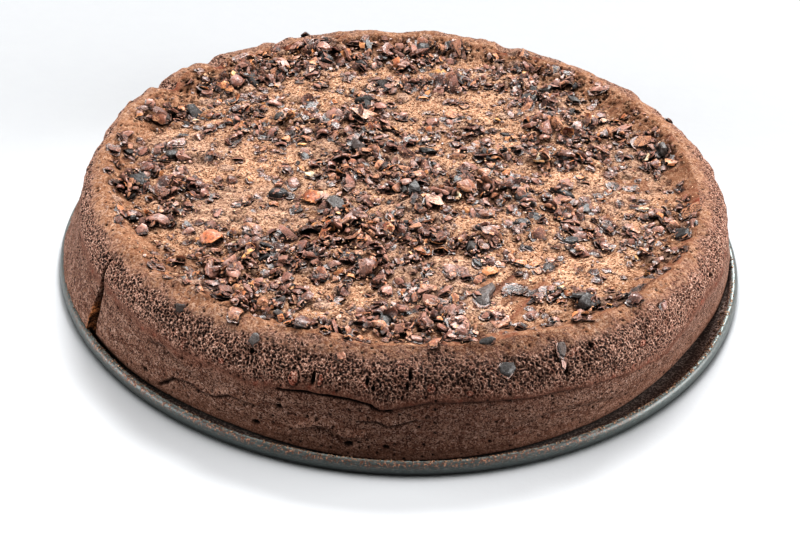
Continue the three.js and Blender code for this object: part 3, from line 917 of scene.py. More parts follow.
    @staticmethod
    def fit(patch: Patch, edge: Array, target: Array) -> None:
        """Moves a strip's first rows so that its edge lies on another piece's edge."""
        angles, own = polar(target)[1], polar(edge)[1]
        order = np.argsort(angles)
        places = [np.interp(own, angles[order], target[order, axis], period=360) for axis in range(3)]
        shift = np.stack(places, -1) - edge
        for row, share in enumerate((1.0, 0.72, 0.45, 0.2)):
            patch.points[row] += shift * share

    # -- the top --

    def make_top(self) -> Patch:
        """Lays out the top as a round net of points, and sculpts and paints it."""
        bm = bmesh.new()
        bmesh.ops.create_grid(bm, x_segments=self.top_cells, y_segments=self.top_cells, size=1.0)
        square = np.array([vertex.co[:2] for vertex in bm.verts])
        border = [vertex.is_boundary for vertex in bm.verts]
        bm.free()
        share = square * np.sqrt(1 - square[:, ::-1] ** 2 / 2)
        place = share * self.form.crest_radius(polar(share)[1])[:, None]
        self.rim = np.flatnonzero(border)
        height = self.form.top_height(place[:, 0], place[:, 1])
        points = np.column_stack([place, height])
        step = 0.4
        slope_x = (self.form.top_height(place[:, 0] + step, place[:, 1]) - height) / step
        slope_y = (self.form.top_height(place[:, 0], place[:, 1] + step) - height) / step
        normals = np.column_stack([-slope_x, -slope_y, np.ones(len(place))])
        normals /= np.linalg.norm(normals, axis=1, keepdims=True)
        normals[self.rim] = (0.0, 0.0, 1.0)
        patch = Patch("cake_top", points[None])
        move, patch.zones[0], patch.marks[0] = self.top_relief(points)
        patch.points[0] += normals * move[:, None]
        return patch

    def top_relief(self, points: Array) -> tuple[Array, Array, Array]:
        """How far each point of the top stands out from the smooth form, and its paint.

        Args:
            points: Rows of x, y and z.

        Returns:
            The moves, the zones and the marks.
        """
        form = self.form
        radius, angle = polar(points)
        inward = form.crest_radius(angle) - radius
        collar = ease(16, 3, inward)
        back = ease(-20, 40, points[:, 1])
        heaped = np.minimum(1.0, form.drift(points[:, 0], points[:, 1]))
        move = self.lumps(points, collar) + 0.22 * grain(points, 2.9, 14) * (1 + 1.2 * heaped)
        nearest = cells(points, 2.3, 4)[0]
        net = ease(0.50, 0.20, nearest)
        inner = ease(15, 9, inward) * ease(-1.0, 2.5, inward) * (0.30 + 0.70 * back)
        pits = ease(0.26, 0.10, nearest) * ease(-0.1, 0.2, grain(points, 9.0, 22))
        move -= inner * net * 0.85 + pits * 0.6
        # Painted shade in the collar's net of pits and in the scattered pits.
        dark = np.maximum(inner * net * 0.75, pits)
        grey = 0.45 * ease(0.0, 0.5, grain(points, 24.0, 31)) * (1 - collar)
        for nib in self.buried:
            near = np.flatnonzero(np.hypot(points[:, 0] - nib.x, points[:, 1] - nib.y) < nib.length)
            across = points[near, :2] - (nib.x, nib.y)
            turned = math.radians(nib.heading)
            lengthwise = across[:, 0] * math.cos(turned) + across[:, 1] * math.sin(turned)
            sideways = across[:, 1] * math.cos(turned) - across[:, 0] * math.sin(turned)
            away = np.hypot(lengthwise / (nib.length / 2), sideways / (nib.width / 2))
            away = away + 0.16 * grain(points[near], 2.0, 40)
            move[near] += nib.rise * ease(1.15, 0.55, away)
            grey[near] = np.maximum(grey[near], nib.grey * ease(1.0, 0.85, away))
            # A painted shadow along the front edge of each raised covered nib.
            lip = np.exp(-(((away - 1.12) / 0.12) ** 2)) * (across[:, 1] < 0)
            dark[near] = np.maximum(dark[near], lip * 0.8 * (nib.rise > 0.5))
        rust = np.maximum(ease(0.25, 0.6, grain(points, 3.2, 51)) * 0.6, 0.95 * ease(20, 3, inward))
        none = np.zeros(len(points))
        side = self.outer_side(points, angle) * ease(5, 0, inward)
        zones = np.stack([side, none, none, none], -1)
        return move, zones, np.clip(np.stack([dark, none, rust, grey], -1), 0, 1)

    def top_mesh(self, patch: Patch) -> bmesh.types.BMesh:
        """Makes the top's mesh: the net of points, with an edge turned under and closed."""
        bm = bmesh.new()
        bmesh.ops.create_grid(bm, x_segments=self.top_cells, y_segments=self.top_cells, size=1.0)
        patch.number(bm)
        self.turn_under(bm, [edge for edge in bm.edges if edge.is_boundary], ((0.975, -2.0), (0.93, -3.0)))
        return bm

    # -- the side --

    def make_strip(self, name: str, columns: int, rows: int, upper: bool) -> Patch:
        """Lays out the side above or below the level crease, and sculpts and paints it.

        Args:
            name: The piece's name.
            columns: How many points it has round the circle.
            rows: How many steps it has from its upper edge to its lower one.
            upper: Whether it is the part above the crease.

        Returns:
            The patch.
        """
        angles = np.linspace(-180, 180, columns, endpoint=False)
        profile = self.form.outer(angles)
        step = np.linalg.norm(np.diff(profile, axis=1), axis=2)
        along = np.concatenate([np.zeros((columns, 1)), np.cumsum(step, axis=1)], axis=1)
        crease = self.crease_height(angles)
        table = np.empty((rows + 1, columns, 3))
        for column in range(columns):
            middle = np.interp(-crease[column], -profile[column, :, 1], along[column])
            stops = (0.0, middle) if upper else (middle, along[column, -1])
            lengths = np.linspace(*stops, rows + 1)
            radius, height = (np.interp(lengths, along[column], profile[column, :, axis]) for axis in (0, 1))
            table[:, column] = np.stack([*spot(radius, angles[column]), height], -1)
        down = np.gradient(table, axis=0)
        ahead = np.roll(table, -1, axis=1) - np.roll(table, 1, axis=1)
        normals = np.cross(down, ahead)
        normals /= np.maximum(np.linalg.norm(normals, axis=2, keepdims=True), 1e-9)
        patch = Patch(name, table)
        flat = table.reshape(-1, 3)
        move, zones, marks = self.side_relief(flat)
        patch.points = self.keep_off_tin(flat + normals.reshape(-1, 3) * move[:, None]).reshape(table.shape)
        patch.zones, patch.marks = zones.reshape(patch.zones.shape), marks.reshape(patch.marks.shape)
        return patch

    @staticmethod
    def front(angle: Array) -> Array:
        """Where the level crease runs, from 0 to 1."""
        return ease(-114, -106, angle) * ease(-30, -42, angle)

    def crease_height(self, angle: Array) -> Array:
        """The height at each angle where the porous band gives way to the smooth wall."""
        path = np.array(self.creases[0].path + self.creases[1].path[1:])
        drop = np.interp(angle, path[:, 0], path[:, 1]) - self.form.wall_top
        return self.form.wall_top + drop * self.front(angle)

    @staticmethod
    def outer_side(points: Array, angle: Array) -> Array:
        """Where the dark side begins below the tan collar, with a ragged border that dips at the left."""
        height = points[:, 2] + 1.4 * bump(turn(-172, angle), 45)
        return ease(39.0, 35.6, height + 1.3 * grain(points, 6.0, 61) + 1.1 * grain(points, 1.6, 62))

    @staticmethod
    def lumps(points: Array, collar: Array) -> Array:
        """The crumb's soft unevenness, stronger on the collar."""
        move = grain(points, 12.0, 1) * (0.45 + 0.5 * collar) + grain(points, 5.0, 2) * (0.30 + 0.25 * collar)
        return move + grain(points, 2.2, 3) * 0.16 + grain(points, 19.0, 5) * 0.8 * collar

    def side_relief(self, points: Array) -> tuple[Array, Array, Array]:
        """How far each point of the side stands out from the smooth form, and its paint.

        Args:
            points: Rows of x, y and z.

        Returns:
            The moves, the zones and the marks.
        """
        form = self.form
        radius, angle = polar(points)
        height = points[:, 2]
        side, front = self.outer_side(points, angle), self.front(angle)
        edge = self.crease_height(angle) - (1 - front) * (1.5 + 3.0 * grain(points, 14.0, 63))
        low = ease(2.6, -2.6, (height - edge) / (1.0 - 0.55 * front))
        move = self.lumps(points, ease(20, 32, height)) * (1 - 0.55 * low)
        move = move + 0.35 * low * grain(points * (0.5, 0.5, 1.3), 6.0, 66)
        nearest, second = cells(points, 1.02, 71)
        patchy = 0.75 + 0.25 * ease(-0.8, -0.1, grain(points, 8.0, 72))
        patchy = patchy * (1 - 0.35 * ease(-60, -40, angle) * ease(60, 20, angle))
        open_crumb = patchy * ease(-0.5, 8.0, height - edge) ** 0.6 * side * (1 - low)
        pit = ease(0.57, 0.31, nearest) * open_crumb
        ridge = 0.25 + 0.60 * ease(-0.5, 0.4, grain(points, 2.4, 74))
        ridge = ease(0.22, 0.04, second - nearest) * open_crumb * ridge
        speckle = ease(0.20, 0.5, grain(points, 1.0, 73)) * (1 - 0.5 * side)
        pin = ease(0.22, 0.12, cells(points, 3.0, 75)[0])
        move += ridge * 0.10 - pit * 0.40 - pin * 0.5
        # Painted shade in the pores and pinholes.
        dark = np.maximum(pit, pin)
        rust = np.maximum(ease(0.35, 0.7, grain(points, 2.6, 76)) * side * 0.5, 0.95 * (1 - side))
        move, dark, ridge = self.cut_strokes(angle, height, move, dark, ridge)
        move, dark, rust = self.cut_holes(points, angle, move, dark, rust)
        torn, slit, calm = self.tear(points, angle, height, radius)
        move = move * (1 - calm) - slit * self.slit_depth + torn * 0.8 * grain(points, 1.3, 81)
        # Painted shade in the slit and in the torn crumb's pores.
        split = np.maximum(slit * 0.97, torn * ease(0.2, -0.2, grain(points, 1.1, 82)))
        dark = np.maximum(dark * (1 - calm), split)
        move = move * (1 - 0.75 * ease(7.0, 3.0, height)) * ease(form.floor, form.floor + 0.8, height)
        # Painted shade for the front of the side, which faces away from the light behind the cake.
        shaded = 0.75 * bump(turn(-80, angle), 46)
        zones = np.stack([side, low, torn, shaded], -1)
        film = np.maximum(speckle * np.maximum(low, 1 - side), open_crumb)
        return move, np.clip(zones, 0, 1), np.clip(np.stack([dark, ridge, rust, film], -1), 0, 1)

    def cut_strokes(
        self, angle: Array, height: Array, move: Array, dark: Array, ridge: Array
    ) -> tuple[Array, Array, Array]:
        """Cuts the crease and the wrinkles into the side.

        Args:
            angle: Each point's angle.
            height: Its height.
            move: How far it stands out.
            dark: How much painted shade darkens it.
            ridge: How much it is a ridge between pores.

        Returns:
            The last three, with the strokes.
        """
        for stroke in (*self.creases, *self.wrinkles):
            away, above = stroke.measure(angle, height, self.side_radius)
            near = away < stroke.width * 8
            cut = np.exp(-((away / stroke.width) ** 2)) * near
            lip = np.exp(-(((above - stroke.width * 2.4) / (stroke.width * 2.2)) ** 2)) * (above > 0) * near
            move = move + (stroke.lip * lip * bump(away, stroke.width * 8) - stroke.depth * cut)
            # Painted shade in the cut.
            dark = np.maximum(dark, stroke.dark * cut)
            ridge = ridge * (1 - cut)
        return move, dark, ridge

    def cut_holes(
        self, points: Array, angle: Array, move: Array, dark: Array, rust: Array
    ) -> tuple[Array, Array, Array]:
        """Sinks the holes into the side, and raises the nibs that crumb has covered there.

        Args:
            points: Rows of x, y and z.
            angle: Each point's angle.
            move: How far it stands out.
            dark: How much painted shade darkens it.
            rust: How rusty it is.

        Returns:
            The last three, with the holes and nibs.
        """
        ragged = grain(points, 6.0, 61)
        for places, depth in ((self.wall_ovals, 0.0), (self.wall_holes, self.hole_depth)):
            for at, level, wide, tall in places:
                across = turn(at, angle) * math.radians(1) * self.side_radius
                away = np.hypot(across / (wide / 2), (points[:, 2] - level) / (tall / 2)) + 0.15 * ragged
                inside = ease(1.3, 0.6, away)
                if depth:
                    move = move - depth * inside
                    # Painted shade inside the hole.
                    dark = np.maximum(dark * (1 - ease(1.5, 1.1, away)), inside)
                else:
                    rust = np.maximum(rust * (1 - inside), 0.95 * ease(1.05, 0.9, away))
                    # A groove round the covered nib, with painted shade in it.
                    rim = np.exp(-(((away - 1.15) / 0.16) ** 2))
                    dark = np.maximum(dark * (1 - inside), rim * 0.85)
                    move = move + (0.3 * inside - 0.5 * rim)
        return move, dark, rust

    def tear(self, points: Array, angle: Array, height: Array, radius: Array) -> tuple[Array, Array, Array]:
        """The upright fold's slit and its torn crumb.

        Args:
            points: Rows of x, y and z.
            angle: Their angles.
            height: Their heights.
            radius: Their radii.

        Returns:
            How torn each point is, how deep in the slit, and how much the other relief fades there.
        """
        form = self.form
        across = turn(form.fold, angle) * math.radians(1) * radius
        wander = 0.7 * grain(points * (0, 0, 1.0), 7.0, 91) + 0.25 * grain(points * (0, 0, 1.0), 2.0, 92)
        across = across - 0.7 + wander * ease(form.slit_top, 20, height)
        down = ease(form.slit_top + 1.5, form.slit_top - 2.0, height)
        widen = 0.30 + 0.26 * ease(form.slit_top, self.torn_top - 3, height)
        slit = np.exp(-((across / widen) ** 2)) * down
        ragged = ease(self.torn_top + 1.5, self.torn_top - 2, height + 1.2 * grain(points, 2.2, 93))
        torn = bump(across + 0.9, 1.6) * ragged * ease(1.2, 2.5, height)
        slit = slit * (1 - 0.8 * torn)
        return torn, slit, bump(across, 3.4) * down * 0.75

    def keep_off_tin(self, points: Array) -> Array:
        """Holds the foot clear of the tin's rim and floor."""
        form = self.form
        limit = np.where(points[:, 2] < form.rim_top + 0.6, form.rim_radius, NO_LIMIT)
        limit = np.where(points[:, 2] < form.rim_bend, form.rim_limit(points[:, 2]), limit)
        spread = polar(points)[0]
        points[:, :2] *= np.minimum(1.0, limit / np.maximum(spread, 1e-6))[:, None]
        points[:, 2] = np.maximum(points[:, 2], form.floor)
        return points

    @staticmethod
    def turn_under(bm: bmesh.types.BMesh, edges: Edges, rings: Pairs) -> None:
        """Closes a piece behind an open edge: rings that draw in and sink, and then a flat face.

        Args:
            bm: The piece.
            edges: Its open edge.
            rings: For each ring, the share it draws in to and how far it sinks.
        """
        bmesh.ops.contextual_create(bm, geom=CakeBody.draw_in(bm, edges, rings))

    @staticmethod
    def draw_in(bm: bmesh.types.BMesh, edges: Edges, rings: Pairs) -> Edges:
        """Adds rings behind an open edge, and returns the last ring's edges."""
        for edge in edges:
            edge.smooth = False
        for share, drop in rings:
            edges, vertices = draw_out(bm, edges)
            for vertex in vertices:
                vertex.co = (vertex.co.x * share, vertex.co.y * share, vertex.co.z + drop)
        return edges

    @staticmethod
    def strip_mesh(patch: Patch) -> tuple[bmesh.types.BMesh, Edges, Edges]:
        """Draws a strip's rows out of one another, and returns its mesh, upper edge and lower edge."""
        bm = bmesh.new()
        bmesh.ops.create_circle(bm, segments=patch.points.shape[1], radius=1.0)
        row_layer, column_layer = patch.number(bm)
        first = edges = bm.edges[:]
        for row in range(1, patch.points.shape[0]):
            edges, vertices = draw_out(bm, edges)
            for vertex in vertices:
                vertex.co = patch.points[row, vertex[column_layer]]
                vertex[row_layer] = row
        return bm, first, edges

    def band_mesh(self, patch: Patch) -> bmesh.types.BMesh:
        """Makes the band's mesh, a closed ring."""
        bm, upper, lower = self.strip_mesh(patch)
        inner_low = self.draw_in(bm, lower, ((0.95, 0.0),))
        inner_high = self.draw_in(bm, upper, ((0.97, -3.0),))
        bmesh.ops.bridge_loops(bm, edges=inner_low + inner_high)
        return bm

    def wall_mesh(self, patch: Patch) -> bmesh.types.BMesh:
        """Makes the lower wall's mesh, a closed drum."""
        bm, upper, lower = self.strip_mesh(patch)
        self.turn_under(bm, upper, ((0.96, -0.3),))
        self.turn_under(bm, lower, ((0.95, 0.0),))
        return bm

    def surface(self) -> BVHTree:
        """The top and the band in millimetres, to find where nibs touch them."""
        corners, faces, start = [], [], 0
        for patch in (self.top, self.band):
            mesh = patch.piece.data
            flat = np.zeros(len(mesh.vertices) * 3)
            mesh.vertices.foreach_get("co", flat)
            corners.append(flat.reshape(-1, 3) / MM)
            faces.extend([start + index for index in face.vertices] for face in mesh.polygons)
            start += len(mesh.vertices)
        return BVHTree.FromPolygons(np.concatenate(corners).tolist(), faces)

    def painted_shade(self, places: Array, reach: float) -> None:
        """Darkens the top's crumb round the given nibs with painted shade.

        Args:
            places: Rows of x, y, z and size of each nib.
            reach: How far past a nib the painted shade runs.
        """
        tree = kdtree.KDTree(len(places))
        for index, row in enumerate(places):
            tree.insert(Vector(row[:3]), index)
        tree.balance()
        for index, point in enumerate(self.top.points[0]):
            _, nearest, away = tree.find(Vector(point))
            gap = max(0.0, away - places[nearest, 3] * 0.36)
            self.top.zones[0, index, 3] = 1 - min(1.0, gap / reach)


# ---- nibs ------------------------------------------------------------------------------------------


class NibKind(Enum):
    """The kinds of topping.  Each is one joined piece of this name."""

    ROASTED = "nibs_roasted"
    SLATE = "nibs_slate"
    WARM = "nibs_warm"
    HUSK = "husk_curls"
    PALE = "pale_flecks"
    CHIP = "nib_chips"
    GRIT = "crumb_grit"
    # Flat black sheets under the nibs, a painted shadow.
    SHADOW_SHEET = "nib_shadow_sheets"


PALETTES: dict[NibKind, tuple[Colour, ...]] = {
    NibKind.ROASTED: (
        *((0.175, 0.078, 0.058), (0.090, 0.034, 0.025)),
        *((0.035, 0.011, 0.008), (0.30, 0.155, 0.118)),
    ),
    NibKind.SLATE: (
        *((0.032, 0.030, 0.029), (0.058, 0.055, 0.053)),
        *((0.016, 0.014, 0.014), (0.070, 0.050, 0.044)),
    ),
    NibKind.WARM: ((0.23, 0.090, 0.055), (0.31, 0.145, 0.097), (0.12, 0.042, 0.026)),
    NibKind.HUSK: ((0.22, 0.055, 0.023), (0.34, 0.110, 0.046), (0.11, 0.026, 0.013), (0.46, 0.19, 0.085)),
    NibKind.PALE: ((0.74, 0.50, 0.26), (0.82, 0.68, 0.48), (0.66, 0.33, 0.12)),
    NibKind.CHIP: (
        *((0.075, 0.028, 0.022), (0.16, 0.075, 0.062), (0.36, 0.12, 0.045)),
        *((0.07, 0.07, 0.072), (0.5, 0.3, 0.18)),
    ),
    NibKind.SHADOW_SHEET: ((0.010, 0.004, 0.002), (0.022, 0.008, 0.004)),
    NibKind.GRIT: (
        *((0.52, 0.29, 0.165), (0.38, 0.19, 0.10), (0.24, 0.10, 0.048)),
        *((0.66, 0.43, 0.28), (0.10, 0.032, 0.016)),
    ),
}


@dataclass(frozen=True)
class Nib:
    """One nib to lay: its kind, its place, its sizes and how it lies."""

    kind: NibKind
    x: float
    y: float
    length: float
    width: float
    thickness: float
    heading: float
    pitch: float
    roll: float
    proud: float


@dataclass(frozen=True)
class Mould:
    """A nib's shape at length, width and thickness 1, and how close each corner is to a broken rim."""

    corners: Array
    faces: tuple[tuple[int, ...], ...]
    rims: Array


class Moulds:
    """Makes the nib shapes of each kind from a few cuts and bends.

    "curls" holds how far a curved nib of a kind may be curled, how deep it may be cupped, and its thickness.
    """

    curls = {
        NibKind.ROASTED: ((60, 140), (0.05, 0.2), 0.11),
        NibKind.WARM: ((40, 120), (0.03, 0.14), 0.09),
    }

    def __init__(self, seed: int) -> None:
        """Starts the seeded draw."""
        self.draw = random.Random(seed)

    def direction(self, flatness: float = 1.0) -> Vector:
        """A random direction, its upright share scaled."""
        gauss = self.draw.gauss
        return Vector((gauss(0, 1), gauss(0, 1), gauss(0, 1) * flatness)).normalized()

    def take(self, bm: bmesh.types.BMesh, sharp: float = 0.55) -> Mould:
        """Reads a finished shape out, scaled to fill a unit box, with its sharp edges' corners marked."""
        bmesh.ops.triangulate(bm, faces=[face for face in bm.faces if len(face.verts) > 4])
        bmesh.ops.recalc_face_normals(bm, faces=bm.faces)
        bm.verts.index_update()
        corners = np.array([vertex.co[:] for vertex in bm.verts])
        low, high = corners.min(0), corners.max(0)
        corners = (corners - (low + high) / 2) / np.maximum(high - low, 1e-6)
        faces = tuple(tuple(vertex.index for vertex in face.verts) for face in bm.faces)
        folds = [max(edge.calc_face_angle(0.0) for edge in vertex.link_edges) for vertex in bm.verts]
        bm.free()
        return Mould(corners, faces, (np.array(folds) > sharp).astype(float))

    def shard(self, cuts: int, detail: int) -> Mould:
        """A bean broken by a few flat cuts, its skin still round between them."""
        bm = bmesh.new()
        bmesh.ops.create_icosphere(bm, subdivisions=detail, radius=0.5)
        for vertex in bm.verts:
            vertex.co *= 1 + self.draw.uniform(-0.08, 0.08)
        for cut_number in range(cuts):
            normal = self.direction(2.5 if cut_number == 0 else 0.5)
            whole = bm.verts[:] + bm.edges[:] + bm.faces[:]
            level = normal * self.draw.uniform(0.06, 0.32)
            cut = bmesh.ops.bisect_plane(bm, geom=whole, plane_co=level, plane_no=normal, clear_outer=True)
            rim = [item for item in cut["geom_cut"] if isinstance(item, bmesh.types.BMEdge)]
            if rim:
                bmesh.ops.contextual_create(bm, geom=rim)
        bmesh.ops.dissolve_limit(bm, angle_limit=math.radians(6), verts=bm.verts, edges=bm.edges)
        bmesh.ops.triangulate(bm, faces=bm.faces)
        return self.take(bm)

    def flake(self, curl: float, cup: float, thin: float, cells_long: int, ragged: float = 0.10) -> Mould:
        """A thin piece of shell, curled along its length and cupped across it.

        Args:
            curl: How far it curls along its length, in degrees.
            cup: How deep it is cupped across.
            thin: Its thickness as a share of its length.
            cells_long: How finely it is bent along its length.
            ragged: How uneven its outline is.

        Returns:
            The mould.
        """
        bm = bmesh.new()
        bmesh.ops.create_grid(bm, x_segments=cells_long, y_segments=max(2, cells_long - 2), size=0.5)
        border = {vertex for edge in bm.edges if edge.is_boundary for vertex in edge.verts}
        skew = self.draw.uniform(-0.35, 0.35)
        bend = math.radians(curl)
        wave = self.draw.uniform(0, math.tau)
        for vertex in bm.verts:
            x, y = vertex.co.x, vertex.co.y
            if vertex in border:
                round_off = 1 - 0.40 * abs(x * y) * 4
                x = x * round_off + self.draw.uniform(-ragged, ragged)
                y = y * round_off + self.draw.uniform(-ragged, ragged)
            x, y = x + skew * y, y * 0.75
            sag = cup * (1 - (2 * y) ** 2)
            turned, reach = x * bend, 1 / max(bend, 0.05)
            ripple = 0.035 * math.sin(9 * x + 6 * y + wave) + self.draw.uniform(-0.012, 0.012)
            rise = (1 - math.cos(turned)) * reach - sag * math.cos(turned)
            vertex.co = (math.sin(turned) * (reach + sag), y, ripple - rise)
        bmesh.ops.solidify(bm, geom=bm.faces[:], thickness=thin)
        return self.take(bm, 0.9)

    def slab(self, outline: list[tuple[float, float]], dome: float, tall: float = 0.22) -> Mould:
        """A flat slab with a soft upper edge.

        Args:
            outline: Its corners seen from above.
            dome: How far its upper face bulges.
            tall: Its thickness.

        Returns:
            The mould.
        """
        bm = bmesh.new()
        bm.faces.new([bm.verts.new((x, y, 0.0)) for x, y in outline])
        drawn = bmesh.ops.extrude_face_region(bm, geom=bm.faces[:])["geom"]
        top = [item for item in drawn if isinstance(item, bmesh.types.BMVert)]
        bmesh.ops.translate(bm, vec=(0, 0, tall), verts=top)
        edges = [edge for edge in bm.edges if all(vertex.co.z > tall / 2 for vertex in edge.verts)]
        bmesh.ops.bevel(bm, geom=edges, offset=0.07, segments=2, profile=0.5, affect="EDGES", material=-1)
        lid = max(bm.faces, key=lambda face: face.calc_center_median().z + face.calc_area())
        bmesh.ops.inset_region(bm, faces=[lid], thickness=0.12)
        bmesh.ops.poke(bm, faces=[lid])
        for vertex in bm.verts:
            lift = dome * (0.25 - vertex.co.x**2 - vertex.co.y**2) if vertex.co.z > tall / 2 else 0.0
            vertex.co.z += lift + self.draw.uniform(-0.012, 0.012)
        return self.take(bm)

    def uneven_slab(self, sides: int, dome: float) -> Mould:
        """A slab with a random outline."""
        spin = self.draw.uniform(0, math.tau)
        corners = []
        for side in range(sides):
            turned = spin + math.tau * (side + self.draw.uniform(-0.3, 0.3)) / sides
            reach = self.draw.uniform(0.36, 0.54)
            corners.append((reach * math.cos(turned), reach * math.sin(turned)))
        return self.slab(corners, dome)

    def make(self, kind: NibKind, detail: int) -> list[Mould]:
        """The moulds of one kind.

        Args:
            kind: The kind.
            detail: How finely they are made: 3 for the largest nibs and 1 for the smallest.

        Returns:
            The moulds.
        """
        draw = self.draw.uniform
        cuts, grid, count = 2 + detail, 2 * detail + 1, 4 + 3 * detail
        if kind in (NibKind.ROASTED, NibKind.WARM):
            curl, cup, thin = self.curls[kind]
            shards = [self.shard(cuts, detail) for _ in range(count)]
            return shards + [self.flake(draw(*curl), draw(*cup), thin, grid) for _ in range(count)]
        if kind is NibKind.SLATE:
            slabs = [self.uneven_slab(self.draw.randint(5, 8), draw(0.05, 0.35)) for _ in range(count)]
            return slabs + [self.shard(4, detail) for _ in range(3)]
        if kind is NibKind.HUSK:
            return [self.flake(draw(110, 240), draw(0.0, 0.10), 0.045, grid, 0.15) for _ in range(2 * count)]
        if kind is NibKind.PALE:
            return [self.flake(draw(30, 90), 0.05, 0.10, grid) for _ in range(count)]
        return [self.shard(3 if kind is NibKind.CHIP else 1, 1) for _ in range(14)]


class HeapMap:
    """The height of what already lies on the top, so that later nibs lie on earlier ones."""

    reach = 132.0
    step = 1.0
    highest = 4.6

    def __init__(self) -> None:
        """Makes an empty square map."""
        size = int(2 * self.reach / self.step) + 1
        self.rise = np.zeros((size, size))

    def rest(self, x: float, y: float, size: float, thickness: float) -> float:
        """How far a nib is lifted by what it lies on.

        Args:
            x: Its place along X.
            y: Its place along Y.
            size: Its length.
            thickness: How much higher it makes the heap.

        Returns:
            The lift.
        """
        half = max(1, int(size * 0.32 / self.step))
        column, row = int((x + self.reach) / self.step), int((y + self.reach) / self.step)
        under = self.rise[row - half : row + half + 1, column - half : column + half + 1]
        lift = float(under.mean() * 0.55 + under.max() * 0.35)
        under[:] = np.maximum(under, min(self.highest, lift + thickness * 0.6))
        return lift


@dataclass
class Toppings:
    """Every nib, husk, fleck, chip and grain on the cake, laid one after another and joined by kind.

    "counts" holds rows of how many nibs to lay, their shortest and longest lengths, and how finely they are
    made, and "shares" how many of them are of each kind.
    """

    form: CakeForm
    surface: BVHTree
    seed: int = 20451
    counts: tuple[tuple[int, float, float, int], ...] = (
        (270, 5.2, 9.0, 3),
        (1000, 3.2, 5.4, 2),
        (1500, 1.6, 3.3, 1),
    )
    shares: tuple[tuple[NibKind, float], ...] = (
        *((NibKind.ROASTED, 0.64), (NibKind.SLATE, 0.045), (NibKind.WARM, 0.19)),
        *((NibKind.HUSK, 0.11), (NibKind.PALE, 0.015)),
    )
    chip_count: int = 3200
    grit_count: int = 3000
    thin_scatter: float = 0.25
    reach: float = 114.0
    # The black sheet under each nib, a painted shadow: its thickness, how far it reaches past the nib, and
    # how far it is shifted towards the front and left.
    shadow_sheet_thickness: float = 0.62
    shadow_sheet_margin: float = 0.5
    shadow_sheet_shift: tuple[float, float] = (0.22, 0.34)
    wedge_size: float = 14.0
    wedge: Pairs = (
        *((32.1, -64.2), (33.1, -67.7), (30.9, -72.5), (31.2, -76.0)),
        *((29.8, -77.8), (27.4, -77.9), (24.7, -71.8), (26.6, -68.8)),
    )

    def __post_init__(self) -> None:
        """Makes the moulds and the empty heap."""
        self.draw = random.Random(self.seed)
        moulds = Moulds(self.seed + 1)
        self.moulds = {(kind, detail): moulds.make(kind, detail) for kind in NibKind for detail in (1, 2, 3)}
        outline = (np.array(self.wedge) - np.mean(self.wedge, axis=0)) / self.wedge_size
        self.wedge_mould = moulds.slab([tuple(corner) for corner in outline], 0.5, 0.12)
        self.parts: dict[NibKind, list[tuple[Array, Mould, Array]]] = {kind: [] for kind in NibKind}
        self.heap = HeapMap()
        self.placed: list[tuple[float, float, float, float]] = []  # x, y, z and length

    def lay(self, nib: Nib, detail: int = 3, mould: Mould | None = None) -> None:
        """Lays one nib on the top, on whatever lies there already.

        Args:
            nib: The nib.
            detail: How finely it is made.
            mould: Its shape, or None for one of its kind.
        """
        found = self.surface.ray_cast(Vector((nib.x, nib.y, 60.0)), Vector((0, 0, -1)))
        if found[0] is None:
            return
        lift = self.heap.rest(nib.x, nib.y, nib.length, nib.thickness)
        self.set_down(nib, found[0], found[1], lift, mould or self.draw.choice(self.moulds[nib.kind, detail]))

    def lay_on_side(self, nib: Nib) -> None:
        """Sets one nib into the side: its x is the angle there, and its y the height."""
        outward = Vector((*spot(1.0, nib.x), 0.0))
        found = self.surface.ray_cast(outward * 200 + Vector((0, 0, nib.y)), -outward)
        if found[0] is not None:
            self.set_down(nib, found[0], found[1], 0.0, self.draw.choice(self.moulds[nib.kind, 3]))

    def set_down(self, nib: Nib, ground: Vector, normal: Vector, lift: float, mould: Mould) -> None:
        """Turns and moves a nib's shape into place, shades its colour darker towards its underside, and lays
        a painted shadow under the larger ones that lie low.

        Args:
            nib: The nib.
            ground: Where it touches the cake.
            normal: The way the cake faces there.
            lift: How far other nibs hold it up.
            mould: Its shape.
        """
        lean = Vector((0, 0, 1)).rotation_difference(normal).to_matrix()
        angles = zip((nib.heading, nib.pitch, nib.roll), "ZYX")
        spin, pitch, roll = (Matrix.Rotation(math.radians(angle), 3, axis) for angle, axis in angles)
        turned = np.array(lean @ spin @ (pitch @ roll))
        corners = (mould.corners * (nib.length, nib.width, nib.thickness)) @ turned.T
        rise = corners @ np.array(normal)
        depth = (rise - rise.min()) / max(rise.max() - rise.min(), 1e-6)
        middle = np.array(ground) + np.array(normal) * (lift + nib.thickness * nib.proud)
        above = rise + lift + nib.thickness * nib.proud
        shade = 0.12 + 1.22 * ease(0.05, 0.85, depth)
        shade = shade * (0.22 + 0.78 * ease(lift * 0.5 - 0.3, lift * 0.5 + 0.9, above))
        tint = np.outer(shade, self.tint(nib.kind))
        self.parts[nib.kind].append((corners + middle, mould, tint))
        # A flat black sheet, larger than the nib and shifted towards the front and left, lies under it as a
        # painted shadow.
        if lift < 1.0 and nib.length > 2.4:
            length, width = (size * 1.10 + self.shadow_sheet_margin for size in (nib.length, nib.width))
            edge = (mould.corners * (length, width, self.shadow_sheet_thickness)) @ np.array(lean @ spin).T
            edge = edge + np.array(ground) - (*self.shadow_sheet_shift, -lift * 0.5)
            black = np.tile(PALETTES[NibKind.SHADOW_SHEET][0], (len(edge), 1))
            self.parts[NibKind.SHADOW_SHEET].append((edge, mould, black))
        if nib.length > 2.2:
            self.placed.append((*ground, nib.length))

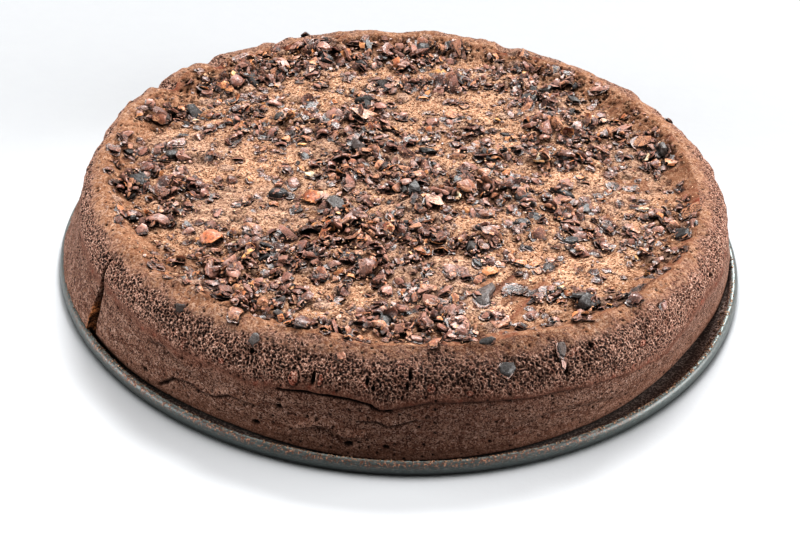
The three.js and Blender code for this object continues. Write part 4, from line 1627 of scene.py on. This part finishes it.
    def tint(self, kind: NibKind) -> Colour:
        """A colour between two of the kind's, a little lighter or darker."""
        first, second = self.draw.choice(PALETTES[kind]), self.draw.choice(PALETTES[kind])
        share, light = self.draw.random(), self.draw.uniform(0.7, 1.35)
        return tuple((a + (b - a) * share) * light for a, b in zip(first, second))

    def place(self, least: float) -> tuple[float, float, float]:
        """A random place on the top and how thickly nibs lie there, drawn from where they are wanted."""
        while True:
            angle, reach = self.draw.uniform(-180, 180), self.reach * math.sqrt(self.draw.random())
            x, y = spot(reach, angle)
            wanted = float(self.form.drift(x, y)) + least
            if self.draw.random() < wanted and reach < float(self.form.crest_radius(angle)) - 1.2:
                return x, y, wanted

    def scatter(self) -> None:
        """Lays the nibs that stand out, then the scattered ones, the largest first, then chips and grit."""
        x, y = np.mean(self.wedge, axis=0)
        self.lay(Nib(NibKind.SLATE, x, y, 8.6, 13.9, 1.8, 0, -8, 6, 0.45), 3, self.wedge_mould)
        for nib in HEROES:
            self.lay(nib)
        for nib in SIDE_NIBS:
            self.lay_on_side(nib)
        kinds, weights = zip(*self.shares)
        for count, shortest, longest, detail in self.counts:
            for _ in range(count):
                x, y, wanted = self.place(self.thin_scatter)
                kind = self.draw.choices(kinds, weights)[0]
                self.lay(self.random_nib(kind, x, y, self.draw.uniform(shortest, longest), wanted), detail)
        for kind, count, least, longest in (
            (NibKind.CHIP, self.chip_count, 0.45, 1.6),
            (NibKind.GRIT, self.grit_count, 1.0, 1.0),
        ):
            for _ in range(count):
                x, y, wanted = self.place(least)
                self.lay(self.random_nib(kind, x, y, self.draw.uniform(0.5, longest), wanted * 0.5), 1)

    def random_nib(self, kind: NibKind, x: float, y: float, length: float, heaped: float) -> Nib:
        """One scattered nib: flat and half sunk where they lie thin, tipped up where they lie thick."""
        uniform = self.draw.uniform
        loose = min(1.0, heaped)
        thick = {NibKind.SLATE: 0.20, NibKind.HUSK: 0.36, NibKind.PALE: 0.3}.get(kind, 0.31)
        thick = thick * uniform(0.7, 1.3)
        tip = 10 + 38 * loose
        proud = uniform(-0.14, 0.14) + 0.32 * loose
        sides = (length, length * uniform(0.5, 0.92), length * thick)
        upturned = 180 if self.draw.random() < 0.4 else 0
        heading, pitch, roll = uniform(0, 360), uniform(-tip, tip), uniform(-tip, tip) + upturned
        return Nib(kind, x, y, *sides, heading, pitch, roll, proud)

    def build(self, finishes: dict[NibKind, bpy.types.Material]) -> list[bpy.types.Object]:
        """Joins each kind into one piece.

        Args:
            finishes: The material of each kind.

        Returns:
            The pieces.
        """
        pieces = []
        for kind, parts in self.parts.items():
            piece = join(kind.value, parts)
            dress(piece, finishes[kind])
            pieces.append(piece)
        return pieces


def join(name: str, parts: list[tuple[Array, Mould, Array]]) -> bpy.types.Object:
    """Joins many small shapes into one piece and paints each corner's tint.

    Args:
        name: The piece's name.
        parts: For each shape its corners in place, its mould and its corners' colours.

    Returns:
        The piece.
    """
    corners, faces, tints, start = [], [], [], 0
    for placed, mould, tint in parts:
        corners.append(placed)
        faces.extend(tuple(start + index for index in face) for face in mould.faces)
        tints.append(np.column_stack([tint, mould.rims]))
        start += len(placed)
    piece = write_mesh(name, np.concatenate(corners), faces)
    piece.data.set_sharp_from_angle(angle=math.radians(32))
    paint(piece, "tint", np.concatenate(tints))
    return piece


# Short names for the kinds in the two tables below.
S, R, W, H, P = NibKind.SLATE, NibKind.ROASTED, NibKind.WARM, NibKind.HUSK, NibKind.PALE

# Nibs that stand out: kind, x, y, length, width, thickness, heading, pitch, roll, how proud.
HEROES: tuple[Nib, ...] = tuple(
    Nib(*row)
    for row in (
        *((S, 65, -77, 8, 6, 4, 15, 10, -20, 0.3), (R, 63, -88, 6.5, 5, 3.4, 0, 0, 15, 0.2)),
        *((S, 45, -13, 6.5, 5, 3, -30, 10, 10, 0.35), (S, 60, -7, 10, 3.6, 2.2, -20, 0, 0, 0.2)),
        *((R, 59, -19, 12, 4.4, 3.4, 80, 0, 10, 0.25), (S, 61, -38, 7, 5, 2.4, 10, -8, 0, 0)),
        *((S, 75, -29, 5.4, 5, 2.4, 0, 0, 0, 0.1), (S, 102, -34, 6.4, 5, 2.2, -30, 0, 0, 0.25)),
        *((W, 107, -20, 7.5, 6, 4, -10, 0, 0, 0.3), (H, 48, -67, 8, 4, 2.6, -5, 0, 0, 0.3)),
        *((P, 56, -68, 4.6, 3.8, 1.6, 70, 0, 0, 0.25), (H, 56, -75, 4, 2.6, 1.6, 10, 0, 0, 0.2)),
        *((R, 44, -74, 7.5, 5, 3.2, -60, 12, 10, 0.3), (W, 34, -88, 10, 7.5, 2, 25, -10, 0, 0.15)),
        *((R, 81, -78, 7, 5, 3.4, 40, 10, 0, 0.3), (S, 44, -28, 6.4, 3.2, 1.6, 5, 0, 0, 0.1)),
        *((S, 17, -12, 6.5, 6, 2.6, 30, 10, 0, 0.4), (S, 4, -10, 8, 4.4, 2.6, 110, 0, 10, 0.4)),
        *((W, 24, -10, 8, 6, 3.6, -20, 20, 0, 0.5), (S, 26, -45, 7.5, 4.6, 2.8, 50, 20, 0, 0.35)),
        *((S, 30, -33, 7, 4.5, 3, 0, -10, 0, 0.2), (S, 27, -52, 8.5, 3, 1.8, 105, 0, 0, 0.2)),
        *((S, 53, -55, 6, 4.2, 1.6, 80, 0, 0, 0.05), (R, 9, -73, 6, 4.6, 2.8, 20, 0, 0, 0.2)),
        *((R, 15, -73, 5.4, 4.6, 2.6, -20, 0, 0, 0.2), (R, 18, -84, 6.5, 5.6, 2.4, 0, 0, 0, 0.25)),
        *((R, 9, -92, 6.8, 4.4, 3, 85, 10, 0, 0.35), (W, 13, -106, 6, 4, 2, 80, 0, 0, 0.2)),
        *((S, 30, -105, 5.4, 2.6, 1.8, 0, 0, 0, 0.2), (R, -11, -63, 9, 6.4, 4.4, 55, 0, 0, 0.45)),
        *((R, -7, -68, 6.4, 4.6, 3.4, 80, 0, 0, 0.35), (S, -24, -24, 9, 6.4, 4.6, 100, 0, 10, 0.45)),
        *((S, -46, -15, 7.4, 5, 2.8, 10, 0, 0, 0.3), (S, -98, -12, 7.6, 7, 2.6, -20, 10, 0, 0.3)),
        *((R, -95, -5, 7, 5, 3.8, 10, 0, 0, 0.45), (H, -67, -48, 8, 6.4, 4.4, 40, 0, 0, 0.3)),
        *((R, -55, -51, 6, 5.4, 3.2, 0, 15, 0, 0.4), (R, -64, -66, 8.4, 6.6, 4.4, 70, 0, 0, 0.4)),
        *((R, -53, -88, 8, 6, 4, 95, 15, 0, 0.4), (W, -54, -96, 7, 5.6, 2.6, 60, 0, 0, 0.3)),
        *((W, -46, -85, 7.4, 5, 3.4, 80, 15, 0, 0.4), (H, -35, -97, 6.2, 4.6, 2.2, 70, 0, 0, 0.3)),
        *((R, -12, -93, 6.4, 5, 3.2, 0, 0, 0, 0.35), (S, -4, -92, 6.4, 4.4, 2.6, 80, 0, 0, 0.3)),
        *((R, -6, -40, 7, 6, 3.6, 0, 0, 0, 0.45), (H, -26, -43, 8, 4.4, 4, 60, 0, 0, 0.45)),
        *((W, -20, -37, 8, 4.6, 2.8, -35, 0, 0, 0.5), (S, -16, -57, 7.4, 3.6, 2.4, -5, 0, 0, 0.4)),
        *((R, -88, -37, 10, 4.4, 3.2, -5, 0, 0, 0.4), (S, -84, 40, 8.4, 6, 3, -40, 15, 0, 0.35)),
        *((H, -89, 40, 6, 5, 2.8, 80, 0, 0, 0.4), (S, -95, 34, 6.6, 5, 3, -15, 0, 0, 0.35)),
        *((S, -63, 67, 9, 4.2, 2.8, -70, 0, 0, 0.4), (R, -69, 64, 7.4, 6.4, 3.8, 50, 0, 0, 0.45)),
        *((R, -52, 80, 10, 5, 2.6, -60, 0, 0, 0.35), (W, -54, 73, 9, 4, 2.4, -70, 0, 0, 0.3)),
        *((S, -34, 85, 6.6, 5, 3, -60, 0, 0, 0.4), (R, -35, 91, 7, 5.4, 4.2, 20, 0, 0, 0.5)),
        *((S, -17, 97, 7.6, 3.2, 2, -75, 0, 0, 0.3), (W, -6, 69, 7.4, 6.2, 2.8, 10, 0, 0, 0.25)),
        *((W, -15, 41, 13, 8, 3.2, 40, 12, 0, 0.55), (S, -17, 52, 7.4, 4, 2.8, 20, 0, 0, 0.5)),
        *((S, -18, 18, 7.6, 4.6, 3, -50, 15, 0, 0.5), (S, -88, 6, 6.6, 5, 2.8, 50, 0, 0, 0.35)),
        *((S, 50, 61, 7, 6, 2.8, 0, 0, 0, 0.3), (R, 56, 61, 6.4, 4.6, 2.8, 85, 0, 0, 0.35)),
        *((S, 57, 69, 5.4, 5, 2.4, 0, 0, 0, 0.3), (P, 48.5, 82, 4.4, 1.8, 1.2, 85, 0, 0, 0.4)),
        *((S, 68, 62, 8.6, 3.2, 2, -75, 0, 0, 0.25), (R, 56, 36, 8.6, 6, 4.6, 65, 0, 0, 0.5)),
        *((R, 63, 16, 7.6, 5.4, 3.4, 0, 0, 0, 0.4), (S, 39, 19, 6.6, 4, 2.4, 0, 0, 0, 0.35)),
        *((H, 35, 14, 5.4, 4.4, 2.4, 20, 0, 0, 0.3), (W, 19, 46, 5.6, 5, 3, 0, 0, 0, 0.3)),
        *((S, 28, 38, 6.4, 4.6, 1.6, 10, 0, 0, 0.05), (S, 9, 18, 6.6, 4.4, 2.6, -50, 0, 0, 0.4)),
        *((S, 6, 96, 7, 5, 3, 60, 0, 0, 0.4), (R, 84, 36, 6.6, 4.4, 2.6, 80, 0, 0, 0.35)),
        *((S, 98, 21, 6.8, 4, 2.4, 50, 0, 0, 0.4), (H, 103, 5, 7, 5.6, 3.4, 30, 0, 0, 0.3)),
        *((W, -33, -17, 14, 6, 2.8, 5, 0, 12, 0.15),),
    )
)


# Nibs set in the side: kind, angle, height, length, width, thickness, heading, pitch, roll, how proud.
SIDE_NIBS: tuple[Nib, ...] = tuple(
    Nib(*row)
    for row in (
        *((S, -72.1, 34.3, 6, 5.2, 3.4, 0, 0, 0, 0.10), (S, -62.3, 36.4, 6.6, 3.4, 2, 100, 0, 0, 0.10)),
        *((R, -62.9, 33.6, 4.2, 2.8, 2.2, 90, 0, 0, 0.05), (S, -113.8, 36.6, 4.6, 3.4, 2.2, 60, 0, 0, 0.10)),
        *((W, -99, 37, 3.6, 2.6, 1.6, 20, 0, 0, 0.05), (R, -40, 35.8, 4.2, 3, 1.8, 40, 0, 0, 0.05)),
        *((S, -129, 36.2, 3.8, 3, 1.6, 0, 0, 0, 0.05), (R, 24, 35, 4.4, 3, 2, 30, 0, 0, 0.05)),
        *((S, 112, 34.6, 4.8, 3.2, 2, 80, 0, 0, 0.05), (W, 158, 35.4, 4, 3, 2, 10, 0, 0, 0.05)),
    )
)


# ---- the tin ---------------------------------------------------------------------------------------


@dataclass
class TinBase:
    """The tin's loose base: a flat sheet that curls up into a rolled bead.

    "crusts" holds rows of the angle at which baked-on crumbs lie thickest, how far they spread and how thick.
    """

    radius: float = 130.0
    sheet: float = 1.2
    flat_radius: float = 121.0
    bead_radius: float = 1.7
    bead_tall: float = 2.65
    bead_height: float = 3.05
    steps_round: int = 320
    crumb_count: int = 2600
    crumb_sizes: tuple[float, float] = (0.35, 1.0)
    crumb_reach: tuple[float, float] = (0.55, 1.04)
    crusts: tuple[Place, ...] = ((-45, 60, 0.65), (-100, 30, 0.3))
    crust_least: float = 0.35
    seed: int = 77
    palette: tuple[Colour, ...] = (
        *((0.14, 0.062, 0.040), (0.24, 0.115, 0.07)),
        *((0.36, 0.22, 0.15), (0.05, 0.022, 0.014)),
    )

    @property
    def middle(self) -> float:
        """The radius of the bead's middle."""
        return self.radius - self.bead_radius

    def turn_up(self, share: float, drop: float = 0.0) -> tuple[float, float]:
        """A point of the sheet's upper face, between the flat floor and the bead's middle."""
        height = self.sheet + (self.bead_height - self.sheet) * share**2 - drop
        return self.flat_radius + (self.middle - self.flat_radius) * share, height

    def section(self) -> list[tuple[float, float]]:
        """The base's section, radius by height: the underside, the bead and the upper face."""
        under = [self.turn_up(share, self.sheet) for share in (0, 0.2, 0.35, 0.5, 0.65, 0.8)]
        bead = [
            (self.middle + self.bead_radius * math.cos(at), self.bead_height + self.bead_tall * math.sin(at))
            for at in np.radians(np.linspace(-75, 195, 15))
        ]
        upper = [self.turn_up(share) for share in (0.66, 0.5, 0.35, 0.2, 0.08, 0)]
        return [(0.0, 0.0), *under, *bead, *upper, (60.0, self.sheet), (0.0, self.sheet)]

    def build(self, material: bpy.types.Material) -> bpy.types.Object:
        """Spins the base's section and dresses it in place of the plain one."""
        bm = bmesh.new()
        corners = [bm.verts.new((radius, 0.0, height)) for radius, height in self.section()]
        edges = [bm.edges.new(pair) for pair in zip(corners, corners[1:])]
        axis = {"cent": (0, 0, 0), "axis": (0, 0, 1), "dvec": (0, 0, 0), "angle": math.tau}
        bmesh.ops.spin(bm, geom=corners + edges, steps=self.steps_round, use_merge=True, **axis)
        bmesh.ops.remove_doubles(bm, verts=bm.verts, dist=1e-4)
        bmesh.ops.recalc_face_normals(bm, faces=bm.faces)
        bm.verts.index_update()
        points = np.array([vertex.co[:] for vertex in bm.verts])
        faces = [tuple(vertex.index for vertex in face.verts) for face in bm.faces]
        bm.free()
        wobble = 0.10 * grain(points, 30.0, 95) * ease(self.flat_radius, self.radius, polar(points)[0])
        points[:, 2] = np.maximum(0.0, points[:, 2] + wobble * (points[:, 2] > 2))
        piece = write_mesh("tin_dish", points, faces)
        paint(piece, "zones", self.zones(points))
        dress(piece, material)
        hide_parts("tin_base")
        return piece

    def zones(self, points: Array) -> Array:
        """Where crust covers the trough, where the bead carries a painted highlight, strongest at the front,
        and where it is spotted.
        """
        spread, angle = polar(points)
        height = points[:, 2]
        inside = ease(self.middle - 0.4, self.middle - 1.7, spread) * (height > 0.5)
        # How strongly the bead's painted highlight shows: most at the front.
        wear_and_highlight = 0.3 + 0.7 * ease(130, 70, np.abs(turn(-110, angle)))
        edge = bump(spread - self.middle + 0.45, 0.95) * ease(4.2, 5.0, height) * wear_and_highlight
        spotted = 0.12 + 0.88 * ease(70, 25, np.abs(turn(-105, angle)))
        crusted = bump(spread - self.middle - 0.7, 1.3) * ease(3.2, 4.4, height) * spotted
        return np.clip(np.stack([inside, edge, crusted, np.zeros(len(points))], -1), 0, 1)

    def crumbs(self, material: bpy.types.Material) -> bpy.types.Object:
        """Scatters baked-on crumbs along the ledge between the cake's foot and the bead."""
        draw = random.Random(self.seed)
        moulds = Moulds(self.seed)
        shapes = [moulds.shard(2, 1) for _ in range(8)]
        parts = []
        while len(parts) < self.crumb_count:
            angle = draw.uniform(-180, 180)
            thick = self.crust_least
            for middle, width, weight in self.crusts:
                thick += weight * float(bump(turn(middle, angle), width))
            if draw.random() > thick:
                continue
            share = draw.uniform(*self.crumb_reach)
            radius, level = self.turn_up(min(share, 1.0))
            if share > 0.8:
                away = draw.uniform(-1.3, 0.3)
                radius = self.middle + away
                level = self.bead_height + self.bead_tall * math.sqrt(1 - (away / self.bead_radius) ** 2)
                level -= 0.1
            size = draw.uniform(*self.crumb_sizes)
            mould = draw.choice(shapes)
            turned = np.array(Matrix.Rotation(draw.uniform(0, math.tau), 3, moulds.direction()))
            place = (*spot(radius, angle), level + size * 0.12)
            tint = np.tile(draw.choice(self.palette), (len(mould.corners), 1))
            parts.append(((mould.corners * size * (1, 0.8, 0.5)) @ turned.T + place, mould, tint))
        piece = join("rim_crumbs", parts)
        dress(piece, material)
        return piece


# ---- camera, floor and light ------------------------------------------------------------------------


@dataclass(frozen=True)
class Studio:
    """A white floor, a soft light high behind the cake, softer ones beside it, and the camera."""

    camera_place: Place = (0.0, -0.573, 0.4025)
    camera_pitch: float = 35.55
    camera_yaw: float = 0.03
    camera_roll: float = 2.37
    lens: float = 81.0
    sensor: float = 36.0
    floor_side: float = 6.0
    sky: Colour = (1.0, 0.98, 0.96)
    sky_back: float = 0.58
    sky_front: float = 0.09
    sky_side: float = 0.65
    sky_ahead: float = 0.6
    sky_span: tuple[float, float] = (-0.35, 0.85)
    aim: Place = (0.0, 0.0, 0.03)
    lights: tuple[tuple[str, Place, tuple[float, float], float], ...] = (
        ("key", (0.40, 2.52, 2.76), (1.5, 1.2), 224.0),
        ("left", (-1.15, -0.1, 0.42), (0.9, 0.6), 16.0),
        ("right", (1.15, -0.1, 0.42), (0.9, 0.6), 25.0),
    )

    def build(self) -> None:
        """Makes the floor, the sky, the lights and the camera."""
        self.make_floor()
        self.make_sky()
        for light in self.lights:
            self.make_light(*light)
        bpy.context.scene.view_settings.view_transform = "Standard"
        bpy.context.scene.view_settings.look = "Medium High Contrast"
        self.make_camera()

    def make_sky(self) -> None:
        """Makes a sky that is bright overhead, behind the cake and beside it, and dim in front of it."""
        world = bpy.data.worlds.new("studio")
        sky = Graph(world)
        place = sky.node("ShaderNodeTexCoord", {}).outputs["Generated"]
        across, ahead, total = sky.node("ShaderNodeSeparateXYZ", {0: place}).outputs
        for part, weight in ((ahead, self.sky_ahead), (sky.sums("ABSOLUTE", across, 0.0), self.sky_side)):
            inputs = {0: part, 1: weight, 2: total}
            total = sky.node("ShaderNodeMath", inputs, operation="MULTIPLY_ADD").outputs[0]
        low, high = self.sky_span
        inputs = {"From Min": low, "From Max": high, "To Min": self.sky_front, "To Max": self.sky_back}
        strength = sky.node("ShaderNodeMapRange", {"Value": total, **inputs}).outputs[0]
        sky.feed(sky.tree.nodes["Background"], {"Color": (*self.sky, 1.0), "Strength": strength})
        bpy.context.scene.world = world

    def make_floor(self) -> None:
        """Makes the white floor."""
        bm = bmesh.new()
        bmesh.ops.create_grid(bm, x_segments=8, y_segments=8, size=self.floor_side / 2)
        mesh = bpy.data.meshes.new("floor")
        bm.to_mesh(mesh)
        bm.free()
        mesh.materials.append(FloorFinish().make())
        put("floor", mesh)

    def make_light(self, name: str, place: Place, size: tuple[float, float], power: float) -> None:
        """Makes a soft rectangular light that faces the cake.

        Args:
            name: The light's name.
            place: Where it hangs, in metres.
            size: Its two sides.
            power: Its power in watts.
        """
        data = bpy.data.lights.new(name, "AREA")
        data.shape = "RECTANGLE"
        data.size, data.size_y = size
        data.energy = power
        light = put(name, data)
        light.location = place
        light.rotation_euler = (Vector(self.aim) - Vector(place)).to_track_quat("-Z", "Y").to_euler()

    def make_camera(self) -> None:
        """Makes the camera at the height and angle from which the cake is seen."""
        angles = (self.camera_pitch, self.camera_yaw, self.camera_roll)
        pitch, yaw, roll = (math.radians(angle) for angle in angles)
        forward = Vector((math.sin(yaw) * math.cos(pitch), math.cos(yaw) * math.cos(pitch), -math.sin(pitch)))
        right = Vector((math.cos(yaw), -math.sin(yaw), 0.0))
        up = right.cross(forward)
        across = right * math.cos(roll) + up * math.sin(roll)
        upward = up * math.cos(roll) - right * math.sin(roll)
        data = bpy.data.cameras.new("camera")
        data.lens, data.sensor_width = self.lens, self.sensor
        data.clip_start, data.clip_end = 0.01, 20.0
        camera = put("camera", data)
        turned = Matrix((across, upward, -forward)).transposed().to_4x4()
        camera.matrix_world = Matrix.Translation(self.camera_place) @ turned
        bpy.context.scene.camera = camera


def report(piece: bpy.types.Object) -> None:
    """Logs a finished piece's name and size."""
    LOG.info("%s: %d faces", piece.name, len(piece.data.polygons))


def main() -> None:
    """Builds the cake, its nibs, its tin and the studio round them."""
    logging.basicConfig(level=logging.INFO, format="%(name)s: %(message)s")
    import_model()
    Studio().build()
    form = CakeForm()
    body = CakeBody(form)
    patches = body.build()
    for patch in patches:
        report(patch.piece)
    toppings = Toppings(form, body.surface())
    toppings.scatter()
    # Painted shade in the crumb round the larger nibs.
    body.painted_shade(np.array(toppings.placed), 1.5)
    crumb = CrumbFinish().make()
    for patch in patches:
        patch.dress(crumb)
    roasted = NibFinish("nib_roasted", 0.31, (0.40, 0.19, 0.13), 0.5).make()
    slate = NibFinish("nib_slate", 0.30, (0.115, 0.108, 0.104), 0.24, 0.35).make()
    warm = NibFinish("nib_warm", 0.34, (0.62, 0.31, 0.17), 0.45, 0.6).make()
    husk = NibFinish("nib_husk", 0.36, (0.66, 0.31, 0.13), 0.4, 0.75).make()
    grit = NibFinish("nib_grit", 0.74, (0.62, 0.40, 0.26), 0.2).make()
    finishes = {kind: roasted for kind in NibKind}
    finishes |= {NibKind.SLATE: slate, NibKind.WARM: warm, NibKind.GRIT: grit}
    finishes |= {NibKind.HUSK: husk, NibKind.PALE: husk}
    tin = TinBase()
    for piece in (*toppings.build(finishes), tin.build(TinFinish().make()), tin.crumbs(grit)):
        report(piece)


if __name__ == "__main__":
    main()
